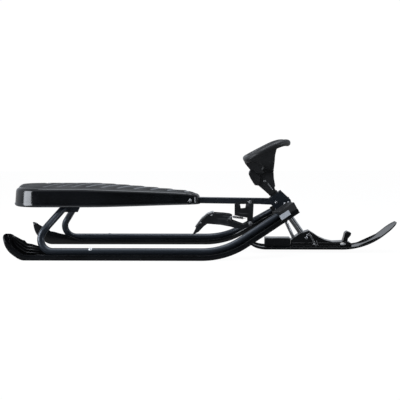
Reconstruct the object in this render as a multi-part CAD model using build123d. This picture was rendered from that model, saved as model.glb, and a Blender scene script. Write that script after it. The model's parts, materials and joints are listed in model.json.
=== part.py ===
"""Two-seat snow sled with a steered front ski, in millimetres.

+X points forwards, +Y to the rider's left and +Z up. The origin is on the ground, in the middle
of the sled's length and width. Every piece is written to parts/NODE.step.
"""

import math
import os

from build123d import *

# ==== Driving dimensions ====================================================================

OVERALL_LENGTH = 1380.0
RUNNER_TRACK = 400.0          # between the middle lines of the two runners

# Frame
TUBE_D = 25.0
TOP_TUBE_H = 22.0
TOP_TUBE_W = 25.0
TOP_TUBE_WALL = 2.0
TOP_TUBE_REAR_X = -536.0
TOP_TUBE_FRONT_X = 238.0
TOP_TUBE_REAR_Z = 195.5       # height of the top tube's middle line at its rear end
TOP_TUBE_FRONT_Z = 183.5      # and at the steering head

# Seat legs, the rear stretch of each frame tube
LEG_FOOT_X = -600.0           # where the leg's line meets the line of the level stretch
LEG_TOP_X = -491.0            # where it ends, under the cross plate
LEG_TOP_Y = 106.0
LEG_BEND_R = 43.0
LEG_ELBOW_X = -547.0          # here the leg turns in towards the middle
LEG_ELBOW_Y = 184.0
LEG_ELBOW_Z = 106.0
LEG_ELBOW_R = 42.0
CROSS_PLATE_T = 4.0
CROSS_PLATE_BEHIND = 22.0     # how far the plate reaches behind the leg tops
CROSS_PLATE_AHEAD = 56.0      # and ahead of them
GUSSET_DROP = 25.0            # how far the gussets come down at the leg tops

# Front legs of the frame tubes
FRONT_RISE = 31.2             # slope, in degrees
FRONT_KNEE_X = 65.0           # where the level line would meet the sloping one
FRONT_BEND_R = 220.0
FRONT_END_X = 312.0
FRONT_END_Y = 96.0            # half width between the tubes' front ends

# Runners
RUNNER_W = 62.0
RUNNER_T = 3.5                # thickness of the moulded wall
RUNNER_WALL_H = 18.0
RUNNER_RIB_W = 15.0           # the rib under the frame tube
RUNNER_LOW_RIB_W = 2.5        # the low ribs at both sides of it
RUNNER_LOW_RIB_H = 9.0
RUNNER_TIP_R = 78.0           # radius of the upturned rear tip
RUNNER_TIP_TURN = 90.0        # how far round the tip turns up, in degrees
RUNNER_TIP_Z = 86.0           # height of its rounded end
RUNNER_RIB_FROM_X = -586.0    # the rib under the tube starts here
RUNNER_PAST = 8.0             # the runner reaches this far past the tube's front end
FRONT_CAP_L = 66.0            # length of the moulded cap over its front end
FRONT_CAP_H = 43.0            # from the runner's underside to the cap's top
FRONT_CAP_WALL = 5.0
TUBE_OVER_SOLE = 26.5         # from the runner's underside to the tube's middle line

# Seat
SEAT_REAR_X = -684.0
SEAT_NOSE_X = -22.0
SEAT_W = 300.0
SEAT_NOSE_W = 80.0
SEAT_FULL_UNTIL_X = -430.0    # the seat keeps its full width back from here
SEAT_CORNER_R = 105.0         # its rear corners, seen from above
SEAT_WALL = 3.5
SEAT_SKIRT_Z = 175.5          # height of the skirt's lower edge
SEAT_TOP_Z = 250.0
SEAT_FALL = 33.0              # the middle line falls this much towards the nose
SEAT_NOSE_DROP = 14.0         # and this much more on the round nose
SEAT_NOSE_ROUND = 64.0        # the round nose is this long
SEAT_CROWN = 9.0              # the top's rise from its edge to its middle
SEAT_EDGE_R = 15.0

# Steering column
STEER_RAKE = 35.0             # the column leans back this far from upright, in degrees
STEER_X = 309.5               # the base point on the column's axis
STEER_Z = 121.0
SHAFT_D = 22.0
SHAFT_FOOT = -94.0            # places along the axis, counted upwards from the base point
SHAFT_TOP = 172.0
YOKE_AT = 51.0
YOKE_T = 5.0
HEAD_LENGTH = 50.0
HEAD_OD = 36.0
CHEEK_T = 3.0
COLUMN_GAP = 7.0              # between the head and the turning cover over it
COLUMN_BUSH_D = 32.0
COLLAR_D = 34.0
COLLAR_H = 10.0
BRACE_D = 12.0                # the thin rod behind the shaft
BRACE_TOP = 24.0              # its upper end, along the axis and ahead of it
BRACE_TOP_AHEAD = -18.5
BRACE_FOOT_X = 322.0
BRACE_FOOT_Z = 42.0
FORK_PLATE_T = 5.0

# Steering wheel
WHEEL_REAR_X = 147.0          # the rim's middle line, at the side nearest the rider
WHEEL_REAR_Z = 337.0
WHEEL_SHOULDER_X = 268.0      # the rim rises to here, then turns in to its front
WHEEL_SHOULDER_Z = 399.0
WHEEL_FRONT_X = 288.0
WHEEL_FRONT_Z = 395.0
WHEEL_HALF_W = 143.0
WHEEL_FRONT_HALF_W = 96.0
RIM_D = 24.0
RIM_CORNER_R = 60.0
WING_T = 9.0
SPOKE_W = 76.0
BOSS_W = 60.0
REAR_COVER_W = 52.0
COLUMN_COVER_W = 36.0

# Front ski
SKI_LIFT = 12.0               # its sole hangs this far over the ground with no rider
SKI_W = 90.0
SKI_T = 4.0
SKI_RIM_W = 5.0
SKI_RIM_H = 5.0               # the rim stands this far over the sole's upper face
SKI_TIP_RIM_H = 1.0           # and this far at the tip
SKI_TAIL_R = 110.0
SKI_TAIL_TURN = 35.0
SKI_FLAT_FRONT_X = 490.0
SKI_NOSE_R = 240.0
SKI_NOSE_TURN = 39.0
SKI_TIP_ROUND = 62.0          # length of the rounded tip, seen from above
SKI_TAIL_ROUND = 26.0

# On the front ski
HOLDER_W = 46.0
HOLDER_RAIL_OUT = 1.6         # two rails run along each of its sides
HOLDER_RAIL_H = 3.0
HOLDER_RAILS_Z = (19.5, 31.0)
HOLDER_SLOT_X = 495.0         # a slot goes through it from side to side
HOLDER_SLOT_Z = 30.0
HOLDER_SLOT_L = 20.0
HOLDER_SLOT_H = 8.0
HOLDER_PIN_D = 10.0
HOLDER_PIN_X = 363.0
HOLDER_PIN_Z = 52.0
REEL_W = 54.0
REEL_REAR_X = 213.0
REEL_FRONT_X = 306.0
REEL_TOP_Z = 51.0
SKI_FLAT_REAR_X = REEL_REAR_X + 4.0    # the sole is level under the reel box
KNOB_W = 34.0

# Foot brake
BRAKE_PIVOT_X = 160.0
BRAKE_PIVOT_Z = 104.0
BRAKE_PIN_D = 10.0
BRAKE_PLATE_T = 4.0
BRAKE_PLATE_GAP = 46.0        # between the middles of the two claw plates
BRAKE_HUB_D = 16.0
PEDAL_X = 84.0
PEDAL_Z = 121.0
PEDAL_HALF_W = 96.0
PEDAL_D = 14.0
HANGER_T = 3.0

# Clearances
SEATED = 0.2                  # between a round piece and its cradle, on the same body
PIN_GAP = 0.08                # a turning pin in its bore, on the radius
RUNNING_GAP = 0.5             # between faces that turn past each other
FACE_GAP = 0.3                # between pieces that are screwed together

# ==== Worked out from them ==================================================================

HALF_L = OVERALL_LENGTH / 2
HALF_TRACK = RUNNER_TRACK / 2
TUBE_R = TUBE_D / 2
RISE = math.radians(FRONT_RISE)
RAKE = math.radians(STEER_RAKE)
FRONT_END_Z = TUBE_OVER_SOLE + (FRONT_END_X - FRONT_KNEE_X) * math.tan(RISE)
SKI_TOP_Z = SKI_LIFT + SKI_T
HANGER_HALF_W = TOP_TUBE_W / 2 + HANGER_T + FACE_GAP
SIDES = (("left", 1), ("right", -1))

os.makedirs("parts", exist_ok=True)


def keep(node, shape):
    """Writes one piece to its own file."""
    export_step(shape, f"parts/{node}.step")


def plate(points, thickness, y=0.0):
    """A plate cut to an outline in the X-Z plane, its middle at this Y."""
    face = make_face(Polyline(*points, close=True))
    return Pos(0, y, 0) * Rot(90, 0, 0) * extrude(face, amount=thickness / 2, both=True)


def box_between(low, high):
    """A block from its lowest to its highest corner."""
    size = [b - a for a, b in zip(low, high)]
    middle = [(a + b) / 2 for a, b in zip(low, high)]
    return Pos(*middle) * Box(*size)


def bar(start, end, radius):
    """A round bar from one point to another."""
    along = Vector(*end) - Vector(*start)
    return extrude(Plane(origin=start, z_dir=along) * Circle(radius), amount=along.length)


def swept_round(path, radius):
    """A round section carried along a path."""
    return sweep(Plane(origin=path @ 0, z_dir=path % 0) * Circle(radius), path=path)


# ==== Steering axis =========================================================================

AXIS_UP = Vector(-math.sin(RAKE), 0, math.cos(RAKE))
AXIS_BASE = Vector(STEER_X, 0, STEER_Z)
FORWARDS = Vector(math.cos(RAKE), 0, math.sin(RAKE))


def column(at, ahead=0.0):
    """A plane square to the steering axis: local X points ahead, local Y to the left."""
    origin = AXIS_BASE + AXIS_UP * at + FORWARDS * ahead
    return Plane(origin=origin, x_dir=FORWARDS, z_dir=AXIS_UP)


def column_rod(low, high, radius):
    """A round solid on the steering axis."""
    return extrude(column(low) * Circle(radius), amount=high - low)


# ==== Frame =================================================================================


def top_tube_z(x):
    """Height of the top tube's middle line."""
    share = (x - TOP_TUBE_REAR_X) / (TOP_TUBE_FRONT_X - TOP_TUBE_REAR_X)
    return TOP_TUBE_REAR_Z + share * (TOP_TUBE_FRONT_Z - TOP_TUBE_REAR_Z)


# The underside of the cross plate, which fits under the top tube and on the legs
CROSS_PLATE_Z = top_tube_z(LEG_TOP_X + CROSS_PLATE_AHEAD) - TOP_TUBE_H / 2 - FACE_GAP - CROSS_PLATE_T


def tube_path(side):
    """Middle line of a frame tube: down the seat leg, along the runner, up the front leg."""
    elbow = Vector(LEG_ELBOW_X, side * LEG_ELBOW_Y, LEG_ELBOW_Z)
    top = Vector(LEG_TOP_X, side * LEG_TOP_Y, CROSS_PLATE_Z)
    corners = [
        tuple(top + (top - elbow) * 0.25),
        tuple(elbow),
        (LEG_FOOT_X, side * HALF_TRACK, TUBE_OVER_SOLE),
        (FRONT_KNEE_X, side * HALF_TRACK, TUBE_OVER_SOLE),
        (FRONT_END_X, side * FRONT_END_Y, FRONT_END_Z),
    ]
    return FilletPolyline(*corners, radius=[LEG_ELBOW_R, LEG_BEND_R, FRONT_BEND_R])


def tube_room(side):
    """The space a frame tube takes up, with the clearance of a close seat."""
    return swept_round(tube_path(side), TUBE_R + SEATED)


def frame_tube(side):
    tube = swept_round(tube_path(side), TUBE_R)
    over_plate = box_between(
        (LEG_TOP_X - 100, -HALF_TRACK, CROSS_PLATE_Z),
        (LEG_TOP_X + 100, HALF_TRACK, CROSS_PLATE_Z + 60),
    )
    return tube - over_plate


def top_tube():
    start = Vector(TOP_TUBE_REAR_X, 0, TOP_TUBE_REAR_Z)
    end = Vector(TOP_TUBE_FRONT_X, 0, TOP_TUBE_FRONT_Z)
    section = RectangleRounded(TOP_TUBE_W, TOP_TUBE_H, 3.0)
    hollow = RectangleRounded(TOP_TUBE_W - 2 * TOP_TUBE_WALL, TOP_TUBE_H - 2 * TOP_TUBE_WALL, 1.5)
    across = Plane(origin=start, x_dir=(0, 1, 0), z_dir=end - start)
    tube = extrude(across * (section - hollow), amount=(end - start).length)
    return tube - column_rod(YOKE_AT - 20, YOKE_AT + HEAD_LENGTH + 30, HEAD_OD / 2)


def rear_cross_plate():
    """The plate that both seat legs are welded under, with a gusset at each leg."""
    half = LEG_TOP_Y + TUBE_R + 6
    z = CROSS_PLATE_Z
    rear, front = LEG_TOP_X - CROSS_PLATE_BEHIND, LEG_TOP_X + CROSS_PLATE_AHEAD
    sheet = box_between((rear, -half, z), (front, half, z + CROSS_PLATE_T))
    sheet = fillet(sheet.edges().filter_by(Axis.Z), 8)
    low = z - GUSSET_DROP
    gusset = [(rear + 6, z), (front - 4, z), (front - 16, low), (rear - 6, low)]
    for _, side in SIDES:
        sheet += plate(gusset, CHEEK_T, side * LEG_TOP_Y) - tube_room(side)
    return max(sheet.solids(), key=lambda s: s.volume)


def front_leg_y(x):
    """Distance of a front leg's middle line from the middle of the sled."""
    share = (x - FRONT_KNEE_X) / (FRONT_END_X - FRONT_KNEE_X)
    return HALF_TRACK + share * (FRONT_END_Y - HALF_TRACK)


def yoke_plate(gap=0.0):
    """The yoke's outline as a plate, or the room for it."""
    rear, front = -30.0 - gap, 34.0 + gap
    middle = column(YOKE_AT).origin.X
    rear_half = front_leg_y(middle + rear * FORWARDS.X) + TUBE_R / 2 + gap
    front_half = front_leg_y(middle + front * FORWARDS.X) + TUBE_R / 2 + gap
    corners = [(rear, -rear_half), (front, -front_half), (front, front_half), (rear, rear_half)]
    face = column(YOKE_AT - gap) * make_face(Polyline(*corners, close=True))
    return extrude(face, amount=YOKE_T + 2 * gap)


def front_yoke():
    """The plate across both front legs, square to the column, that the head tube stands on."""
    sheet = yoke_plate()
    sheet -= column_rod(YOKE_AT - 5, YOKE_AT + YOKE_T + 5, SHAFT_D / 2 + 2)
    for _, side in SIDES:
        sheet -= tube_room(side)
    return max(sheet.solids(), key=lambda s: s.volume)


HEAD_FROM = YOKE_AT + YOKE_T
HEAD_TO = HEAD_FROM + HEAD_LENGTH


def head_tube():
    return column_rod(HEAD_FROM, HEAD_TO, HEAD_OD / 2) - column_rod(
        HEAD_FROM - 1, HEAD_TO + 1, SHAFT_D / 2 + PIN_GAP
    )


def head_cheek(side):
    """Side plate of the head, from the top tube to the column and down to the yoke."""
    outline = [(186, 174), (186, 193), (234, 199), (240, 216), (268, 226), (300, 196), (326, 172),
               (262, 150), (236, 172)]
    middle = side * (HEAD_OD / 2 + CHEEK_T / 2 + SEATED)
    cheek = plate(outline, CHEEK_T, middle)
    under = extrude(column(HEAD_FROM) * Rectangle(400, 400), amount=-200)
    over = extrude(column(HEAD_TO) * Rectangle(400, 400), amount=200)
    return cheek - under - over


def head_hood():
    """Folded front plate of the head, over the front of the head tube."""
    width = HEAD_OD + 2 * CHEEK_T + 6
    outline = [(258, 216), (262, 219), (291, 196), (316, 174), (314, 171), (289, 192)]
    sheet = plate(outline, width)
    under = extrude(column(HEAD_FROM) * Rectangle(400, 400), amount=-200)
    over = extrude(column(HEAD_TO) * Rectangle(400, 400), amount=200)
    sheet = sheet - under - over - column_rod(HEAD_FROM, HEAD_TO, HEAD_OD / 2 + SEATED)
    for _, side in SIDES:
        sheet -= head_cheek(side)
    return max(sheet.solids(), key=lambda s: s.volume)


# ==== Runners ===============================================================================


def tip_point(side, turn):
    """A point on the underside of the upturned tip, this far round from the level."""
    angle = math.radians(turn)
    x = -HALF_L + RUNNER_TIP_R * (1 - math.sin(angle))
    return Vector(x, side * HALF_TRACK, RUNNER_TIP_R * (1 - math.cos(angle)))


def tip_edges(side):
    """Underside of the tip, from its end down to the level stretch."""
    end = tip_point(side, RUNNER_TIP_TURN)
    lean = math.radians(RUNNER_TIP_TURN)
    up = Vector(-math.cos(lean), 0, math.sin(lean))
    straight = Line(end + up * ((RUNNER_TIP_Z - end.Z) / up.Z), end)
    arc = ThreePointArc(end, tip_point(side, RUNNER_TIP_TURN / 2), tip_point(side, 0))
    return [straight.edge(), arc.edge()]


def runner_path(side):
    """Underside of a runner, from the end of its rear tip to its front end."""
    knee_x = FRONT_KNEE_X + TUBE_OVER_SOLE * math.tan(RISE / 2)
    past_y = RUNNER_PAST * (HALF_TRACK - FRONT_END_Y) / (FRONT_END_X - FRONT_KNEE_X)
    end_z = FRONT_END_Z + RUNNER_PAST * math.tan(RISE) - TUBE_OVER_SOLE / math.cos(RISE)
    corners = [
        tip_point(side, 0),
        (knee_x, side * HALF_TRACK, 0),
        (FRONT_END_X + RUNNER_PAST, side * (FRONT_END_Y - past_y), end_z),
    ]
    run = FilletPolyline(*corners, radius=FRONT_BEND_R + TUBE_OVER_SOLE)
    return Wire(tip_edges(side) + list(run.edges()))


def standing(width, height):
    """A rectangle that stands on the path it is carried along."""
    return Rectangle(width, height, align=(Align.CENTER, Align.MIN))


def along(path, section):
    """A section carried along a path, its local Y standing up from the path.

    On a path that runs inwards it has the roll that a section carried there from the level has.
    """
    ahead = path % 0
    roll = ahead.Y / (1 + ahead.X)
    across = Vector(-ahead.Y, 1 - ahead.Y * roll, -ahead.Z * roll)
    start = Plane(origin=path @ 0, x_dir=across, z_dir=ahead)
    return sweep(start * section, path=path)


def runner_section():
    """Open channel with a rib down its middle that the frame tube lies in, and low side ribs."""
    outer = RUNNER_W / 2
    inner = outer - RUNNER_T
    rib = RUNNER_RIB_W / 2
    low = (inner + rib) / 2
    right = [(outer, 0), (outer, RUNNER_WALL_H), (inner, RUNNER_WALL_H), (inner, RUNNER_T),
             (low + RUNNER_LOW_RIB_W / 2, RUNNER_T), (low + RUNNER_LOW_RIB_W / 2, RUNNER_LOW_RIB_H),
             (low - RUNNER_LOW_RIB_W / 2, RUNNER_LOW_RIB_H), (low - RUNNER_LOW_RIB_W / 2, RUNNER_T),
             (rib, RUNNER_T), (rib, TUBE_OVER_SOLE - 3.0)]
    left = [(-x, z) for x, z in reversed(right)]
    return make_face(Polyline(*right, *left, close=True))


def tip_disc(side, radius):
    """A round bar along X whose upper half rounds the end of the tip, seen from behind."""
    y, z = side * HALF_TRACK, RUNNER_TIP_Z - RUNNER_W / 2
    return bar((-HALF_L - 20, y, z), (-HALF_L + 60, y, z), radius)


# The room over the tip's walls, seen from the side
TIP_HOLLOW = [(-HALF_L + 5, RUNNER_TIP_Z + 20), (-HALF_L + 5, 63), (-HALF_L + 22, 42),
              (-HALF_L + 56, 28), (-HALF_L + 86, RUNNER_WALL_H), (-HALF_L + 130, RUNNER_TIP_Z + 20)]
# Upper edge of the web that stiffens the tip on its inner side
TIP_WEB_TOP = [(-HALF_L + 190, RUNNER_WALL_H - 1), (-HALF_L + 170, 24), (-HALF_L + 145, 34),
               (-HALF_L + 130, 39), (-HALF_L + 110, 43), (-HALF_L + 90, 49), (-HALF_L + 70, 55),
               (-HALF_L + 50, 67), (-HALF_L + 32, 79), (-HALF_L + 15, 84)]


def tip_web(side):
    """The high wall on the tip's inner side, down to the runner's sole."""
    turns = (77, 66, 55, 44, 33, 22, 11, 0)
    sole = [(tip_point(side, turn).X + 1, tip_point(side, turn).Z + 1) for turn in turns]
    outline = TIP_WEB_TOP + sole + [(TIP_WEB_TOP[0][0], 1)]
    return plate(outline, RUNNER_T, side * (HALF_TRACK - RUNNER_W / 2 + RUNNER_T / 2))


def runner(side):
    y = side * HALF_TRACK
    channel = along(runner_path(side), runner_section())
    tip = Wire(tip_edges(side) + [Line(tip_point(side, 0), (RUNNER_RIB_FROM_X, y, 0)).edge()])
    channel -= along(tip, Pos(0, RUNNER_LOW_RIB_H) * standing(RUNNER_RIB_W + 1, TUBE_OVER_SOLE))
    # the end of the tip is rounded, and the walls fade out towards it
    end_low = RUNNER_TIP_Z - RUNNER_W / 2
    end_box = box_between(
        (-HALF_L - 20, y - RUNNER_W, end_low), (-HALF_L + 60, y + RUNNER_W, 2 * RUNNER_TIP_Z)
    )
    channel -= end_box - tip_disc(side, RUNNER_W / 2)
    solid = channel - plate(TIP_HOLLOW, RUNNER_W + 20, y) + tip_web(side) - tube_room(side)
    return max(solid.solids(), key=lambda s: s.volume)


def front_cap(side):
    """Moulded end piece over a front leg's end, with a slot for the yoke."""
    path = Wire(runner_path(side).edges()[-1:])
    inner_w = RUNNER_W - 2 * RUNNER_T - 2 * FACE_GAP
    over_walls = Pos(0, RUNNER_WALL_H + FACE_GAP) * standing(RUNNER_W, FRONT_CAP_H - RUNNER_WALL_H)
    end = path @ 1
    stretch = Wire([Line(end + (path @ 0 - end).normalized() * FRONT_CAP_L, end).edge()])
    cap = along(stretch, over_walls)
    back = end + (path @ 0 - end).normalized() * FRONT_CAP_WALL
    low = RUNNER_LOW_RIB_H + FACE_GAP
    end_wall = Pos(0, low) * standing(inner_w, FRONT_CAP_H - low)
    cap += along(Wire([Line(back, end).edge()]), end_wall)
    cap -= along(stretch, standing(RUNNER_RIB_W + 2 * FACE_GAP, TUBE_OVER_SOLE))
    return cap - tube_room(side) - yoke_plate(1.0)


# ==== Seat ==================================================================================


def eased(share):
    """Rises smoothly from 0 to 1 as the share does."""
    share = min(1.0, max(0.0, share))
    return share * share * (3 - 2 * share)


def seat_half_width(x):
    """Full behind, drawn in to a slim nose in front."""
    share = (x - SEAT_FULL_UNTIL_X) / (SEAT_NOSE_X - SEAT_FULL_UNTIL_X)
    return SEAT_W / 2 + (SEAT_NOSE_W - SEAT_W) / 2 * eased(share * 0.95)


def seat_top(x):
    """Height of the seat's middle line, level behind and falling to the nose."""
    share = (x - SEAT_FULL_UNTIL_X) / (SEAT_NOSE_X - SEAT_FULL_UNTIL_X)
    fall = SEAT_FALL * max(0.0, share) ** 1.3
    nose = max(0.0, (x - SEAT_NOSE_X + SEAT_NOSE_ROUND) / SEAT_NOSE_ROUND)
    rear = max(0.0, (SEAT_REAR_X + 50 - x) / 50)
    return SEAT_TOP_Z - fall - SEAT_NOSE_DROP * nose**3 - 8 * rear**2


def seat_section(x, inset, low):
    """The seat cut across: straight sides, rounded edges and a crowned top."""
    half = seat_half_width(x) - inset
    top = seat_top(x) - inset
    radius = SEAT_EDGE_R - inset
    crown = SEAT_CROWN * half / (SEAT_W / 2)
    edge_z = top - crown
    bend = radius * (1 - math.sqrt(0.5))
    lines = [
        Line((half, low), (half, edge_z - radius)),
        ThreePointArc((half, edge_z - radius), (half - bend, edge_z - bend), (half - radius, edge_z)),
        ThreePointArc((half - radius, edge_z), (0, top), (radius - half, edge_z)),
        ThreePointArc((radius - half, edge_z), (bend - half, edge_z - bend), (-half, edge_z - radius)),
        Line((-half, edge_z - radius), (-half, low)),
        Line((-half, low), (half, low)),
    ]
    return Plane(origin=(x, 0, 0), x_dir=(0, 1, 0), z_dir=(1, 0, 0)) * make_face(lines)


def seat_plan(inset):
    """The seat seen from above: rounded corners behind, a round nose in front."""
    rear = SEAT_REAR_X + inset
    half = SEAT_W / 2 - inset
    corner = SEAT_CORNER_R - inset
    nose = SEAT_NOSE_X - inset
    nose_half = SEAT_NOSE_W / 2 - inset
    bend = corner * (1 - math.sqrt(0.5))
    lines = [
        Line((rear + corner, -half - 20), (nose - nose_half * 0.7, -half - 20)),
        Line((nose - nose_half * 0.7, -half - 20), (nose - nose_half * 0.7, -nose_half)),
        ThreePointArc((nose - nose_half * 0.7, -nose_half), (nose, 0), (nose - nose_half * 0.7, nose_half)),
        Line((nose - nose_half * 0.7, nose_half), (nose - nose_half * 0.7, half + 20)),
        Line((nose - nose_half * 0.7, half + 20), (rear + corner, half + 20)),
        Line((rear + corner, half + 20), (rear + corner, half)),
        ThreePointArc((rear + corner, half), (rear + bend, half - bend), (rear, half - corner)),
        Line((rear, half - corner), (rear, corner - half)),
        ThreePointArc((rear, corner - half), (rear + bend, bend - half), (rear + corner, -half)),
        Line((rear + corner, -half), (rear + corner, -half - 20)),
    ]
    return make_face(lines)


def seat_solid(inset, low):
    stations = [SEAT_REAR_X - 20, -640, -560, SEAT_FULL_UNTIL_X, -360, -290, -220, -150, -86, -50,
                SEAT_NOSE_X + 10]
    body = loft([seat_section(x, inset, low) for x in stations])
    plan = Pos(0, 0, low - 5) * extrude(seat_plan(inset), amount=SEAT_TOP_Z)
    return body & plan


def seat():
    slot_top = top_tube_z(SEAT_NOSE_X) + TOP_TUBE_H / 2 + 1.0
    half_slot = TOP_TUBE_W / 2 + 1.0
    slot = box_between((SEAT_NOSE_X - 30, -half_slot, 150), (SEAT_NOSE_X + 10, half_slot, slot_top))
    return seat_solid(0, SEAT_SKIRT_Z) - seat_solid(SEAT_WALL, SEAT_SKIRT_Z - 10) - slot


def seat_block(x, length):
    """A moulded block on the top tube that the seat is screwed to."""
    low = top_tube_z(x - length / 2) + TOP_TUBE_H / 2 + FACE_GAP
    half_w = 28.0
    block = box_between((x - length / 2, -half_w, low), (x + length / 2, half_w, SEAT_TOP_Z))
    return block & seat_solid(SEAT_WALL + SEATED, SEAT_SKIRT_Z - 10)


# ==== Foot brake ============================================================================


def brake_hanger():
    """A folded sheet that hangs from the top tube's sides, with a window through both its sides."""
    x, z = BRAKE_PIVOT_X, BRAKE_PIVOT_Z
    lug = [(x - 10, 124), (x - 10, z + 2), (x - 5, z - 8), (x + 5, z - 8), (x + 10, z + 2)]
    outline = [(104, 176), (104, 133)] + lug + [(174, 190), (150, 190)]
    inside = [(100, 200), (100, 133 + HANGER_T), (x - 10, 124 + HANGER_T),
              (x - 10, z - 20), (x + 30, z - 20), (x + 30, 200)]
    half_w = HANGER_HALF_W
    sheet = plate(outline, 2 * half_w) - plate(inside, 2 * (half_w - HANGER_T))
    window = plate([(124, 174), (146, 174), (143, 158), (127, 156)], 3 * half_w)
    return sheet - window - brake_bore(2 * half_w, SEATED)


def brake_shaft():
    half = (BRAKE_PLATE_GAP + BRAKE_PLATE_T) / 2 + 3
    return bar((BRAKE_PIVOT_X, -half, BRAKE_PIVOT_Z), (BRAKE_PIVOT_X, half, BRAKE_PIVOT_Z), BRAKE_PIN_D / 2)


def brake_bore(half_length, gap):
    """The round room for the brake shaft."""
    x, z = BRAKE_PIVOT_X, BRAKE_PIVOT_Z
    return bar((x, -half_length, z), (x, half_length, z), BRAKE_PIN_D / 2 + gap)


CLAW_TOP = [(-36, 88), (-14, 117), (8, 135), (28, 142), (62, 140)]
CLAW_REST = [(86, 137), (95, 133), (96, 122), (90, 117), (112, 108), (135, 100), (150, 108), (160, 113),
             (169, 104), (165, 94), (140, 86), (108, 87), (86, 93), (54, 99), (5, 103), (-8, 93),
             (-26, 74), (-50, 61)]


def brake_plate(side):
    """One of the two claw plates, side by side on the brake shaft."""
    blade = plate(CLAW_TOP + CLAW_REST, BRAKE_PLATE_T, side * BRAKE_PLATE_GAP / 2)
    pedal_hole = bar((PEDAL_X, -BRAKE_PLATE_GAP, PEDAL_Z), (PEDAL_X, BRAKE_PLATE_GAP, PEDAL_Z),
                     PEDAL_D / 2 + PIN_GAP)
    return blade - brake_bore(BRAKE_PLATE_GAP, PIN_GAP) - pedal_hole


def brake_strip():
    """Bent bright strip on the upper edges of the two claw plates."""
    lift = 4.5
    low = [(x, z + FACE_GAP) for x, z in CLAW_TOP[:-1]]
    high = [(x - 3.5, z + lift) for x, z in CLAW_TOP[:-1]]
    return plate(low + high[::-1], BRAKE_PLATE_GAP + BRAKE_PLATE_T)


def brake_hub():
    """The sleeve that keeps the hanger's two lugs apart."""
    half = HANGER_HALF_W - HANGER_T - SEATED
    x, z = BRAKE_PIVOT_X, BRAKE_PIVOT_Z
    return bar((x, -half, z), (x, half, z), BRAKE_HUB_D / 2) - brake_bore(2 * half, SEATED)


def pedal_bar():
    return bar((PEDAL_X, -PEDAL_HALF_W, PEDAL_Z), (PEDAL_X, PEDAL_HALF_W, PEDAL_Z), PEDAL_D / 2)


# ==== Steering wheel and column ==============================================================

# Lower edge of the wheel's boss, where the covers meet it
BOSS_UNDER = [(172, 297), (183, 286), (194, 279), (205, 284), (219, 293), (245, 290)]
# The joint between the two covers, from the boss down
COVER_JOINT = [(194, 279), (196, 270), (194, 250), (190, 241)]


def rim_path():
    half, front_half = WHEEL_HALF_W, WHEEL_FRONT_HALF_W
    right = [
        (WHEEL_REAR_X, -half, WHEEL_REAR_Z),
        (WHEEL_SHOULDER_X, -half, WHEEL_SHOULDER_Z),
        (WHEEL_FRONT_X, -front_half, WHEEL_FRONT_Z),
    ]
    left = [(x, -y, z) for x, y, z in reversed(right)]
    radii = [RIM_CORNER_R] * 6
    return FilletPolyline(*right, *left, radius=radii, close=True)


def wing_band():
    """Cross-section of both wings and the saddle between them, seen from the rider's seat."""
    outer_y = WHEEL_HALF_W + 5
    low = [(outer_y, 380), (outer_y, 322), (102, 304), (26, 296)]
    high = [(outer_y - WING_T, 380), (outer_y - WING_T, 329), (100, 304 + WING_T), (24, 296 + WING_T)]
    lower = FilletPolyline(*low, *[(-y, z) for y, z in reversed(low)], radius=26)
    upper = FilletPolyline(*high, *[(-y, z) for y, z in reversed(high)], radius=26 - WING_T)
    return make_face([lower, upper, Line(low[0], high[0]), Line((-low[0][0], 380), (-high[0][0], 380))])


def steering_wheel():
    """Rim, two broad wings that sweep down and in, a rear spoke and the boss they meet in."""
    wheel = swept_round(rim_path(), RIM_D / 2)
    facing = Plane(origin=(100, 0, 0), x_dir=(0, 1, 0), z_dir=(1, 0, 0))
    band = extrude(facing * wing_band(), amount=200)
    side_view = [(150, 339), (163, 331), (187, 329), (204, 313), (206, 280), (243, 280), (241, 320),
                 (243, 352), (252, 391)]
    wheel += band & plate(side_view, 2 * WHEEL_HALF_W + 40)
    spoke = [(144, 338), (140, 328), (141, 322), (161, 297), (172, 297), (183, 286), (205, 284),
             (208, 316), (188, 332), (164, 337), (156, 342)]
    wheel += plate(spoke, SPOKE_W)
    boss = BOSS_UNDER + [(245, 318), (206, 302)]
    wheel += plate(boss, BOSS_W)
    return max(wheel.solids(), key=lambda s: s.volume)


def rear_cover():
    """The stepped block behind the column, under the wheel's boss."""
    outline = BOSS_UNDER[:2] + COVER_JOINT + [(177, 243), (170, 253), (161, 268), (155, 282), (157, 291),
                                              (161, 297)]
    return plate(outline, REAR_COVER_W) - column_rod(HEAD_TO, SHAFT_TOP + 1, SHAFT_D / 2 + SEATED)


def column_cover():
    """Wedge-shaped cover of the column, from the boss down to the head."""
    outline = BOSS_UNDER[2:] + [(246, 268), (251, 240), (248, 233), (258, 214), (236, 196), (227, 209),
                                (208, 226)] + COVER_JOINT[:0:-1]
    cover = plate(outline, COLUMN_COVER_W) - column_rod(HEAD_TO, SHAFT_TOP + 1, SHAFT_D / 2 + SEATED)
    under = extrude(column(HEAD_TO + COLUMN_GAP) * Rectangle(400, 400), amount=-200)
    bush_room = column_rod(HEAD_TO, HEAD_TO + COLUMN_GAP + 2 + FACE_GAP, COLUMN_BUSH_D / 2 + SEATED)
    return max((cover - under - bush_room).solids(), key=lambda s: s.volume)


def steering_shaft():
    pin_room = bar((HOLDER_PIN_X, -HOLDER_W, HOLDER_PIN_Z), (HOLDER_PIN_X, HOLDER_W, HOLDER_PIN_Z),
                   HOLDER_PIN_D / 2 + PIN_GAP)
    return column_rod(SHAFT_FOOT, SHAFT_TOP, SHAFT_D / 2) - pin_room


def column_bush():
    """The dark ring on the shaft between the head and the turning cover."""
    low, high = HEAD_TO + RUNNING_GAP, HEAD_TO + COLUMN_GAP + 2
    return column_rod(low, high, COLUMN_BUSH_D / 2) - column_rod(low - 1, high + 1, SHAFT_D / 2 + PIN_GAP)


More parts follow.
